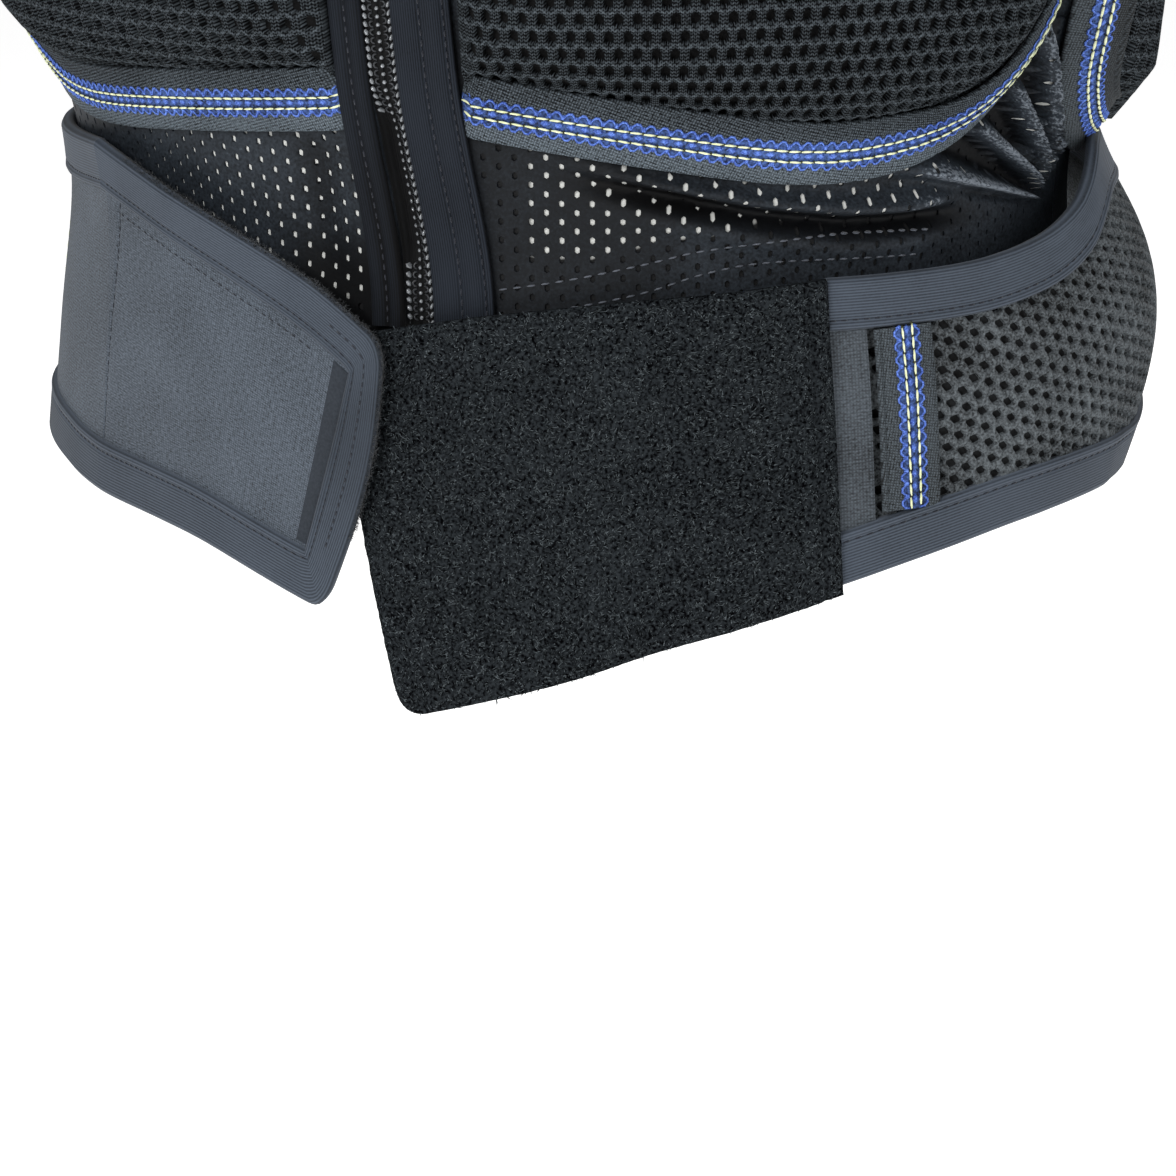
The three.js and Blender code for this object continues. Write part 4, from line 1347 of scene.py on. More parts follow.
        def folded(x: Array, y: Array, angle: Array, height: Array) -> Array:
            """Lift of the cloth's inner face."""
            ease = 0.0 if back else 1.0
            return ease * self.folds(angle, height, side) * fade(height, 60, 30)

        lay = Lay(where, lambda *spot: folded(*spot) + self.fabric, folded, side.sign)
        marks = {
            "tone": lambda x, y: self.tone(*where(x, y), side, back),
            "shade": lambda x, y: self.shade(*where(x, y), side, back),
        }
        finishes = VEST_CLOTH, VEST_HOLE_LIGHT
        self.made[name] = Piece.cut(f"{name}_cloth", bm, lay, finishes, "vest_mesh", (name,), marks=marks)

    def refine(self, bm: BMesh) -> None:
        """Splits the cells where the cloth is gathered, so that its folds are smooth."""
        first, last, lowest, highest = self.refined
        low, high = self.climb(lowest), self.climb(highest)
        cut = set()
        for f in bm.faces:
            x, y, _ = f.calc_center_median()
            if first * FLAT < x < last * FLAT and low < y < high:
                cut.update(f.edges)
        bmesh.ops.subdivide_edges(bm, edges=list(cut), cuts=1, use_grid_fill=True)

    def binding_section(self) -> Section:
        """Cross-section of a ribbed binding folded over an edge."""
        width = self.binding_width
        outer = [*ribbed(0.6, width, 1.9, 0.28, 9)[:-1], (width, 1.4)]
        roll = [(-0.9, 0.9), (-1.4, -0.2), (-0.9, -1.6), (0.6, -2.4)]
        inner = [(width * 0.5, -2.5), (width, -2.0), (width, -1.4)]
        return [*outer[::-1], *roll, *inner]

    def bind(self, name: str, line: Array, closed: bool) -> None:
        """Sews a binding along an edge, whose cloth is on the left."""
        flat = np.stack([line[:, 0] * FLAT, line[:, 1]], 1)
        rows = beside(respaced(flat, 4.0), closed, 3)
        length = float(rows[-1, 0])
        bm = swept(length, len(rows) - 1, self.binding_section(), ring=closed)
        sign = -1.0 if name.endswith("right") else 1.0
        lay = Lay(lambda x, y: on_rows(rows, x, y), lambda x, y, a, h: 0 * x + self.fabric, None, sign)
        made = Piece.cut(f"{name}_rib", bm, lay, (SLATE_BINDING,), "edge_binding", (name,), weld=closed)
        self.made[name] = made

    def hem_stitches(self) -> None:
        """Two rows of stitches along the hem beside the loop panel."""
        lines = [spline([(a * FLAT, h) for a, h in row]) for row in self.hem_rows]
        places, turns = zip(*[along_line(line, self.hem_pitch) for line in lines])
        at = np.vstack(places)
        at = np.column_stack([at, np.full(len(at), self.fabric + 0.12)])
        lay = Lay(straight, lambda x, y, a, h: self.folds(a, h, Side.LEFT) * fade(h, 60, 30))
        size, turn = (1.35, 0.32, 0.28), np.concatenate(turns)
        name = "hem_stitches"
        self.made[name] = Piece.stitches(name, at, size, turn, lay, PALE_THREAD, "vest_mesh")

    def build(self) -> None:
        """Makes the panels, the bindings and the hem's stitches."""
        self.hem_stitches()
        for side in Side:
            for back in (False, True):
                self.panel(side, back)
        shares = self.eased(60)
        neck = np.vstack([self.neckline(shares, False), self.neckline(shares, True)[::-1][1:]])[::-1]
        arm = np.vstack([self.armhole(shares, False), self.armhole(shares, True)[::-1][1:]])
        for side in Side:
            self.bind(f"neck_binding_{side.value}", neck, False)
            self.bind(f"armhole_binding_{side.value}", arm, True)
        sizes = {False: (0.235, 0.52, 0.073), True: (0.235, 0.545, 0.081)}
        for side in Side:
            for back, (width, length, area) in sizes.items():
                if not back and side is Side.LEFT:
                    self.made["hem_stitches"]


# Zip


@dataclass
class FrontZip:
    """The front zip: two bead chains, two facings and a slider."""

    bead_pitch: float = 2.35
    edge_column: float = 3.75
    coil_column: float = 2.05
    dive_depth: float = 6.0
    hidden_dive: float = 3.9  # depth from which the right half's beads are left out
    stations: int = 90
    slider_boxes: tuple[tuple[float, ...], ...] = (
        # distance below the head, lift, length, width, thickness
        (7.5, 2.6, 13, 10.5, 3.4),
        (8.0, 5.0, 8, 3.4, 2.2),
        (27, 4.6, 26, 6, 1.6),
    )
    facing_left: Table = (
        (4.6, 0.6), (5.0, 1.5), (6.0, 1.9), (9.0, 1.9), (12.4, 1.8), (13.0, 1.1), (13.6, 1.1), (14.2, 1.8),
        (17.0, 1.9), (19.6, 1.8), (20.1, 1.0), (20.6, 1.0), (21.0, 1.9), (21.9, 1.9), (22.4, 1.2),
        (22.4, 0.1), (4.6, 0.1),
    )  # fmt: skip
    facing_right: Table = (
        (4.2, 0.6), (4.6, 1.7), (5.6, 2.3), (7.2, 2.3), (8.4, 1.6), (9.2, 1.3), (10.0, 1.6), (11.2, 2.3),
        (12.8, 2.3), (13.9, 1.7), (14.4, 0.8), (14.4, 0.1), (4.2, 0.1),
    )  # fmt: skip

    def facing(self, side: Side) -> None:
        """The strip of cloth beside the chain."""
        section = self.facing_left if side is Side.LEFT else self.facing_right
        length = ZIP_LINE.head - ZIP_LINE.foot
        bm = swept(length, self.stations, section)
        lay = Lay(ZIP_LINE.where(side), lambda x, y, a, h: 0 * x + ON_FABRIC, None, side.sign)
        name, slot = f"zip_facing_{side.value}", "zip_facing"

        def shade(x: Array, y: Array) -> Array:
            """Depth of the painted shadow over the right facing: deeper towards its foot, in its groove and
            beside its chain.
            """
            deep = 0.3 + 0.3 * fade(x, 70, 20)
            return (side is Side.RIGHT) * (deep + 0.4 * hump(y - 9.2, 1.3) + 0.4 * fade(y, 6.4, 4.8))

        marks = {"shade": shade}
        made = Piece.cut(f"{name}_strip", bm, lay, (FACING,), slot, (name,), marks=marks)
        grooves = (13.3, 20.35) if side is Side.LEFT else (9.2,)
        runs = np.arange(2, length - 2, 3.0)
        at = np.vstack([level(runs, y, 1.25) for y in grooves])
        seam = Piece.stitches(f"{name}_seam", at, (1.1, 0.3, 0.28), 0.0, lay, DARK_THREAD, slot)

    def chain(self, side: Side) -> None:
        """Half of the chain: a tape with shiny beads on it."""
        length = ZIP_LINE.head - ZIP_LINE.foot
        across = (0.15, 1.6, 3.0, 3.9, 4.6, 5.3)
        section = [(y, 0.0) for y in across[::-1]] + [(y, 0.8) for y in across]
        ribbon = Shape.of(swept(length, self.stations, section))
        shift = self.bead_pitch / 2 if side is Side.RIGHT else 0.0
        runs = np.arange(1.5 + shift, length - 1.5, self.bead_pitch)
        if side is Side.RIGHT:
            dive = self.dive(side, ZIP_LINE.foot + runs, self.edge_column + 0 * runs)
            runs = runs[dive < self.hidden_dive]
        edge = level(runs, self.edge_column, 1.5)
        beads = [Shape.bead().repeat(edge, np.array([1.05, 0.56, 0.9]), 0.42)]
        if side is Side.LEFT:
            dots = level(runs + self.bead_pitch / 2, 0.2, 1.7)
            beads.append(Shape.bead().repeat(dots, np.array([0.62, 0.62, 0.7])))
        coil = level(runs, self.coil_column - 0.5, 1.3)
        turns = Shape.loop().repeat(coil, np.array([0.85, 1.15, 1.2]))
        parts = [(ribbon.points, ribbon.faces), *beads, turns]
        lay = Lay(ZIP_LINE.where(side), lambda x, y, a, h: 0.8 - self.dive(side, h, y), None, side.sign)
        name = f"zip_chain_{side.value}"
        finishes = (ZIP_TAPE, *[ZIP_BEAD for _ in beads], ZIP_COIL)
        Piece.strewn(f"{name}_coil", parts, lay, finishes, "zip_coil", (name,))

    def dive(self, side: Side, height: Array, y: Array) -> Array:
        """How far the chain turns in out of sight above the belt."""
        window = fade(height, 37, 20) * (1 - 0.7 * fade(-height, 10, 24))
        if side is Side.RIGHT:
            return window * self.dive_depth * fade(y, 5.2, 3.6)
        return window * 3.4 * np.clip(1 - y / 3.2, 0, 1)

    def slider(self) -> None:
        """The slider with its pull, at the head of the chain."""
        bm = bmesh.new()
        top = ZIP_LINE.head - ZIP_LINE.foot
        shape = {"offset_type": "OFFSET", "affect": "EDGES", "segments": 2, "profile": 0.5, "material": -1}
        for below, lift, *size in self.slider_boxes:
            place = Matrix.Translation((top - below, 0, lift)) @ Matrix.Diagonal((*size, 1))
            made = bmesh.ops.create_cube(bm, size=1, matrix=place)["verts"]
            edges = list({e for v in made for e in v.link_edges})
            bmesh.ops.bevel(bm, geom=edges, offset=0.7, **shape)
        tail = [v for v in bm.verts if v.co.x < top - 34]
        bmesh.ops.scale(bm, vec=(1, 0.8, 1), verts=tail)
        lay = Lay(ZIP_LINE.where(Side.LEFT), lambda x, y, a, h: 0 * x + 4.6)
        Piece.cut("zip_slider_metal", bm, lay, (ZIP_BEAD,), "zip_coil", ("zip_slider",))

    def build(self) -> None:
        """Makes both halves and the slider."""
        for side in Side:
            self.facing(side)
            self.chain(side)
        self.slider()


# Tapes and pads


@dataclass
class TapeTrim:
    """Elastic tape with a band of blue crochet loops and two rows of bright stitches."""

    pitch: float = 3.6
    middle: float = 9.1
    stitch_offset: float = 1.6
    loop_reach: float = 2.45
    wire: float = 0.21  # thickness of a loop's yarn, as a share of the loop
    band: float = 7.0  # width of the band of painted shade under the loops, in a shaded blue
    station_step: float = 5.0
    sizes: tuple[tuple[float, float, float], ...] = (
        # half sizes: bars between the loops, bars across, bright stitches, dips between those
        (0.65, 1.25, 0.45),
        (1.5, 1.3, 0.44),
        (2.0, 0.37, 0.4),
        (0.6, 0.7, 0.46),
    )

    def section(self) -> Section:
        """Cross-section of the tape, with a fine cord along its inner edge."""
        top = [(y, self.crown(y)) for y in np.linspace(0.3, 16.8, 10)]
        cord = [(17.4, -0.1), (17.9, 0.55), (18.6, 0.75), (19.2, 0.4), (19.4, -0.5)]
        return [(0.0, -0.4), *top, *cord, (18.8, -1.3), (9.5, -1.0), (0.0, -1.2)]

    @staticmethod
    def crown(y: float) -> float:
        """Height of the tape's face at a place across it."""
        return 0.45 * math.sin(math.pi * y / TAPE_WIDTH)

    def parts(self, length: float) -> list[Pair]:
        """Repeated shapes of the trim for a length of tape: blue, lime, the band of painted shade, then
        olive.
        """
        count = max(3, round(length / self.pitch))
        runs = (np.arange(count) + 0.5) * length / count
        half = length / count / 2
        z = self.crown(self.middle) + 0.3
        loop, grain, seed = Shape.loop(self.wire), Shape.grain(), Shape.bead(4, 2)
        bar, cross, stitch, dip = (np.array(row) for row in self.sizes)
        blue, lime, dips = [], [], []
        for sign, shift in ((1.0, 0.0), (-1.0, 0.9)):
            row = self.middle + sign * self.stitch_offset
            start = self.middle + sign * (self.stitch_offset + 0.1)
            reach = np.array([half * 0.86, sign * self.loop_reach, 1.1])
            blue.append(loop.repeat(level(runs, start, z), reach))
            blue.append(seed.repeat(level(runs + half, start + sign * 0.75, z + 0.1), bar))
            lime.append(grain.repeat(level(runs + shift, row, z + 0.5), stitch, 0.05 * sign))
            dips.append(level(runs + half + shift, row, z + 0.3))
        blue.append(seed.repeat(level(runs + half * 0.5, self.middle, z - 0.05), cross))
        low, high = self.middle - self.band / 2, self.middle + self.band / 2
        foot, face = z - 0.35, z - 0.12
        section = ((low, foot), (low, face), (high, face), (high, foot))
        strip = Shape.of(swept(length, max(4, round(length / 4)), section))
        olive = seed.repeat(np.vstack(dips), dip)
        return [joined(blue), joined(lime), (strip.points, strip.faces), olive]

    def sew(
        self,
        node: str,
        lay: Lay,
        length: float,
        closed: bool,
        finish: Finish,
        shadow: float = 0.33,
    ) -> None:
        """Makes a tape and its trim.

        Args:
            node: the CAD node that it stands for.
            lay: how it lies, with x along it and y across it.
            length: its length in millimetres.
            closed: whether its ends meet.
            finish: finish of its webbing.
            shadow: how far its inner edge is darkened.
        """
        slot, steps = "elastic_tape", max(6, round(length / self.station_step))
        bm = swept(length, steps, self.section(), ring=closed)
        marks = {"shade": lambda x, y: shadow * fade(y, 11.0, 14.5)}
        tape = Piece.cut(f"{node}_web", bm, lay, (finish,), slot, (node,), closed, marks=marks)
        finishes = (BLUE_YARN, LIME_YARN, SHADED_BLUE_YARN, OLIVE_YARN)
        band = Piece.strewn(f"{node}_trim", self.parts(length), lay, finishes, slot)


TRIM = TapeTrim()


@dataclass
class Pads:
    """Foam pads under an open spacer net, each edged with tape."""

    pitch: float = 4.3
    row: float = 5.0
    edge: float = 1.6
    rim: tuple[float, float, float] = (0.54, 0.64, 0.6)  # hole's rim: shares of the cell, and drop
    floor: tuple[float, float, float] = (0.92, 0.94, 2.4)
    profile: Table = (
        # inset from the tape's outer edge, lift
        (9, 2.9), (14, 3.3), (18.4, 4.6), (20, 7.0), (24, 11.4), (32, 15.4), (46, 17.4),
    )  # fmt: skip
    zip_profile: Table = ((0, 6.2), (2, 9.4), (5, 12.2), (12, 15.4), (26, 17.6))
    under_tape: float = 12.0
    least_lift: float = 4.3  # a cell is open where the net stands higher than this
    flank_fullness: tuple[float, float] = (1.06, 0.66)  # share of a side pad's height at its foot and above
    flank_square: float = 4.2  # how steeply a side pad rises where it bulges over its tape
    overhang: float = 4.5  # how far a side pad bulges over its tape at the back of its foot

    def lift(self, distance: Array) -> Array:
        """Lift of the net at an inset."""
        return np.interp(distance, *np.array(self.profile).T)

    def spill(self, angle: Array, height: Array) -> Array:
        """How far a side pad bulges over its tape at a place."""
        return self.overhang * fade(angle, 97, 110) * fade(height, 60, 30)

    @staticmethod
    def tilt(angle: Array, flank: bool) -> Array:
        """How far a pad's edge beside the gathers stands off, which turns its tape."""
        return 6.5 * fade(angle, 108, 96) if flank else 8.6 * fade(angle, 54, 76)

    @staticmethod
    def turned(angle: Array, kind: str) -> Array:
        """Share of a tape's width that still lies along the body where it turns up the pad's side."""
        return 1 - (kind == "front") * 0.28 * fade(angle, 52, 74)

    def make(self, name: str, path: EdgePath, zip_side: float | None, mirror: float) -> None:
        """Makes one pad inside its tape's path."""
        edge = Outline(path.flat[:-1] if path.closed else path.flat)
        runs = np.linspace(0, path.length, max(40, round(path.length / 4)))
        kind = name.split("_")[0]
        flank = kind == "side"
        inset = self.under_tape * self.turned(path.where(runs, 0 * runs)[0], kind)
        if flank:
            inset -= self.spill(*path.where(runs, inset))
        angle, height = path.where(runs, inset)
        if zip_side is not None:
            angle = np.maximum(angle, zip_side)
            angle[[0, -1]] = zip_side
        inner = Outline(np.stack([angle * FLAT, height], 1)[: -1 if path.closed else None])
        bm = honeycomb(inner, self.pitch, self.row, self.edge)

        def base(x: Array, y: Array, angle: Array, height: Array) -> Array:
            """Lift of the net's face."""
            scale = np.stack(FORM.scale(angle, height), 1)
            scale[:, 0] /= FLAT
            _, inset = edge.nearest(np.stack([x, y], 1), scale, closed=path.closed)
            left = self.turned(angle, kind)
            inset = np.where(inset < TAPE_WIDTH * left, inset / left, inset + TAPE_WIDTH * (1 - left))
            lift = self.lift(inset)
            if flank:
                full = lerp(*self.flank_fullness, fade(height, 14, 58))
                lift = self.lift(inset + self.flank_square * self.spill(angle, height)) * full
            if name != "back_pad":
                lift = lift + self.tilt(angle, flank) * fade(inset, 6, 19)
            if zip_side is None:
                return lift
            return np.minimum(lift, np.interp((x / FLAT - zip_side) * 2.7, *np.array(self.zip_profile).T))

        cell = self.pitch * self.row
        whole = [f for f in thicken(bm) if len(f.verts) == 6 and f.calc_area() > 0.97 * cell]
        x, y = np.array([f.calc_center_median()[:2] for f in whole]).T
        holes = [f for f, lift in zip(whole, base(x, y, x / FLAT, y)) if lift > self.least_lift]
        pierce(bm, holes, self.rim, self.floor)
        lay = Lay(straight, base, lambda x, y, a, h: 0 * x + ON_FABRIC + 0.1, mirror)
        made = Piece.cut(f"{name}_net", bm, lay, (NET_STRAND, NET_PIT), "spacer_mesh", (name,))

    def tape_lay(self, path: EdgePath, mirror: float, kind: str) -> Lay:
        """How a tape lies beside its path, its open ends tucked under the zip facing."""

        def where(x: Array, y: Array) -> Pair:
            """Place on the tape, narrower where it turns up."""
            return path.where(x, y * self.turned(path.where(x, 0 * y)[0], kind))

        def base(x: Array, y: Array, angle: Array, height: Array) -> Array:
            """Lift of the face."""
            high = 6.4 if kind == "back" else 6.4 + self.tilt(angle, kind == "side")
            lift = lerp(4.0, high, y / TAPE_WIDTH)
            if path.closed:
                return lift
            return lerp(1.7, lift, fade(np.minimum(x, path.length - x), 1.0, 4.4))

        return Lay(where, base, None, mirror)

    def build(self) -> None:
        """Makes every pad and its tape."""
        for side in Side:
            front, flank = PAD_EDGES.front(side), PAD_EDGES.flank()
            rows = (("front", front, PAD_EDGES.zip_side(side)), ("side", flank, None))
            for kind, path, zip_side in rows:
                node = f"{kind}_pad_{side.value}"
                self.make(node, path, zip_side, side.sign)
                lay = self.tape_lay(path, side.sign, kind)
                finish = WEBBING_SHADED if kind == "side" else WEBBING
                tape = f"{kind}_tape_{side.value}"
                TRIM.sew(tape, lay, path.length, path.closed, finish)
        path = PAD_EDGES.back()
        self.make("back_pad", path, None, 1.0)
        lay = self.tape_lay(path, 1.0, "back")
        TRIM.sew("back_tape", lay, path.length, True, WEBBING)


# Belt


@dataclass
class Belt:
    """The lumbar belt: ribbed bindings, padded net wings, slate ends and two tapes."""

    binding: float = 14.0
    tuck: float = 3.0  # how far the stretches run under the bindings
    pitch: float = 5.2
    row: float = 4.1
    edge: float = 1.35
    slant: float = -20.0  # degrees by which the net's rows run down along the belt
    rim: tuple[float, float, float, float] = (0.87, 0.64, 0.4, 0.6)
    floor: tuple[float, float, float] = (0.92, 0.9, 1.7)
    first: tuple[float, float] = (34.0, 46.7)  # where the bottom and the top binding start
    last: float = 319.0
    stations: int = 210

    def binding_section(self, ribs: int = 12) -> Section:
        """Cross-section of a binding: fine ribs, a stitched groove and a rolled inner edge."""
        face = ribbed(0.2, 10.6, 1.3, 0.13, ribs)
        groove = [(11.0, 0.95), (11.5, 0.95), (12.0, 1.5), (13.0, 1.6), (13.8, 1.3), (14.2, 0.1)]
        return [(-0.7, UNDERSIDE), (-1.2, -1.0), (-0.8, 0.5), *face, *groove, (14.0, UNDERSIDE)]

    def bind(self, top: bool) -> None:
        """Sews the binding along the top or the bottom edge."""
        first = self.first[top]
        length = (self.last - first) * FLAT
        bm = swept(length, self.stations, self.binding_section())

        def where(x: Array, y: Array) -> Pair:
            """Angle and height of a flat place."""
            angle = first + x / FLAT
            return angle, BELT.top(angle) - y if top else BELT.bottom(angle) + y

        lay = Lay(where, lambda x, y, a, h: BELT.outer(a, h), lambda x, y, a, h: BELT.inner(a, h) - 0.3)
        node = f"belt_binding_{'top' if top else 'bottom'}"
        made = Piece.cut(f"{node}_rib", bm, lay, (SLATE_BINDING,), "edge_binding", (node,))
        at, size = level(np.arange(1, length, 3.3), SEAM_GROOVE, 1.0), (1.2, 0.28, 0.2)
        seam = Piece.stitches(f"{node}_seam", at, size, 0.0, lay, DARK_THREAD, "edge_binding")

    def outline(self, start: float, end: float) -> Outline:
        """Flat outline of a stretch between two angles."""
        angle = np.linspace(start, end, max(6, round((end - start) / 1.5)))
        inset = self.binding - self.tuck
        low = np.stack([angle * FLAT, BELT.bottom(angle) + inset], 1)
        high = np.stack([angle * FLAT, BELT.top(angle) - inset], 1)
        return Outline(np.vstack([low, high[::-1]]))

    @staticmethod
    def lay(groove: bool = False) -> Lay:
        """How a stretch lies: on the belt's outer face, or sunk under the left tape's outer edge."""

        def base(x: Array, y: Array, angle: Array, height: Array) -> Array:
            """Lift of the face."""
            return BELT.outer(angle, height) - groove * 2.6 * fade(angle, 53.6, 52.4)

        return Lay(straight, base, lambda x, y, a, h: BELT.inner(a, h))

    def net(self, node: str, start: float, end: float) -> None:
        """A padded stretch under net."""
        turn = Matrix.Rotation(math.radians(self.slant), 3, "Z")
        outline = Outline(self.outline(start, end).corners @ np.array(turn)[:2, :2])
        bm = honeycomb(outline, self.pitch, self.row, self.edge)
        cell = self.pitch * self.row
        holes = [f for f in thicken(bm) if len(f.verts) == 6 and f.calc_area() > 0.97 * cell]
        pierce(bm, holes, self.rim, self.floor)
        bmesh.ops.rotate(bm, cent=(0, 0, 0), matrix=turn, verts=bm.verts[:])
        lay, finishes = self.lay(groove=start < 180), (BELT_STRAND, BELT_PIT)
        made = Piece.cut(f"{node}_net", bm, lay, finishes, "spacer_mesh", (node,))

    def end(self, node: str, start: float, end: float, finish: Finish) -> None:
        """A plain slate stretch."""
        inset = self.binding - self.tuck
        length = (end - start) * FLAT
        bm = flat_grid(length, 1.0, max(8, round(length / 4)), 16)
        for v in bm.verts:
            angle = np.array(start + v.co.x / FLAT)
            low, high = BELT.bottom(angle) + inset, BELT.top(angle) - inset
            v.co.x, v.co.y = float(angle * FLAT), float(lerp(low, high, v.co.y))
        thicken(bm)
        made = Piece.cut(f"{node}_canvas", bm, self.lay(), (finish,), "slate_fabric", (node,))
        tall = float(BELT.top(np.array(start)) - BELT.bottom(np.array(start)) - 2 * inset)

    def tape(self, node: str, start: float, end: float) -> None:
        """An upright tape between two stretches."""
        middle = np.array((start + end) / 2)
        inset = self.binding + 0.4
        low, high = float(BELT.bottom(middle) + inset), float(BELT.top(middle) - inset)
        rise = 1.3 if start < 180 else 0.2
        lay = Lay(
            lambda x, y: (lerp(end, start, y / TAPE_WIDTH), low + x),
            lambda x, y, a, h: BELT.outer(a, h) + rise,
        )
        TRIM.sew(node, lay, high - low, False, WEBBING_SHADED, 0.0)

    def build(self) -> None:
        """Makes the stretches in order round the body, then the bindings."""
        self.net("belt_wing_left", 51.0, 129.9)
        self.net("belt_back", 130.1, 229.9)
        self.net("belt_wing_right", 230.1, 284.9)
        self.end("belt_end_left", 34.0, 51.1, SLATE_CANVAS)
        self.end("belt_end_right", 284.8, 319.0, SLATE_KNIT)
        self.tape("belt_tape_left", 51.9, 58.8)
        self.tape("belt_tape_right", 277.0, 284.6)
        for top in (False, True):
            self.bind(top)


# Closure


@dataclass
class LoopPanel:
    """The panel of loop pile on the belt's left end."""

    thick: float = 3.0
    free_lift: float = 6.8
    sewn_lift: float = 10.6
    bottom: Table = ((0.8, -145.5), (17, -133.0), (30, -121.0), (46.8, -109.5))
    top: Table = ((-7, -38), (9, -29.5), (27, -24), (46.4, -20.0))
    length: float = 118.0
    width: float = 100.0
    border: float = 111.5
    hairs: int = 16000
    cells: tuple[int, int] = (88, 74)
    corner: float = 9.0

    def where(self, x: Array, y: Array) -> Pair:
        """Angle and height at a flat place, with the lower free corner rounded."""
        r = self.corner
        near, low_by = np.maximum(r - x, 0), np.maximum(r - y, 0)
        pull = np.maximum(near, low_by) / np.maximum(np.hypot(near, low_by), 1e-6)
        both = (near > 0) & (low_by > 0)
        x, y = np.where(both, r - near * pull, x), np.where(both, r - low_by * pull, y)
        low, high = (spline([(a * FLAT, h) for a, h in edge]) for edge in (self.bottom, self.top))
        shares = np.linspace(0, 1, len(low))
        u, v = x / self.length, y / self.width
        ends = [[np.interp(u, shares, line[:, k]) for k in (0, 1)] for line in (low, high)]
        return lerp(ends[0][0], ends[1][0], v) / FLAT, lerp(ends[0][1], ends[1][1], v)

    def under(self, x: Array, y: Array, angle: Array, height: Array) -> Array:
        """Lift of the underside."""
        return lerp(self.free_lift, self.sewn_lift, fade(angle, 24, 36))

    def base(self, x: Array, y: Array, angle: Array, height: Array) -> Array:
        """Lift of the face, soft at the edges, with a sewn border strip."""
        lift = self.under(x, y, angle, height) + self.thick
        rim = np.minimum.reduce([x, self.length - x, y, self.width - y])
        groove = -0.9 * hump(x - self.border, 0.7)
        return lift - 1.1 * fade(rim, 2.2, 0.0) + groove

    def build(self) -> None:
        """Makes the panel and its nap."""
        rng = np.random.default_rng(SEED)
        bm = flat_grid(self.length, self.width, *self.cells)
        thicken(bm)
        roughen(bm, rng, 0.16)
        lay = Lay(self.where, self.base, self.under)
        slot = "loop_pile"
        panel = Piece.cut("loop_panel_pile", bm, lay, (LOOP_PILE,), slot, ("loop_panel",))
        n = self.hairs
        spread = [rng.uniform(0, self.length, n), rng.uniform(0, self.width, n)]
        at = np.column_stack([*spread, np.full(n, -0.15)])
        at = at[np.abs(at[:, 0] - self.border) > 0.9]
        n = len(at)
        size = np.column_stack([np.full(n, 0.2), np.full(n, 0.2), rng.uniform(0.3, 0.8, n)])
        part = Shape.hair().repeat(at, size, rng.uniform(0, 6.3, n), rng.normal(0, 0.9, (n, 2)))
        nap = Piece.strewn("loop_panel_nap", [part], lay, (LOOP_HAIR,), slot)


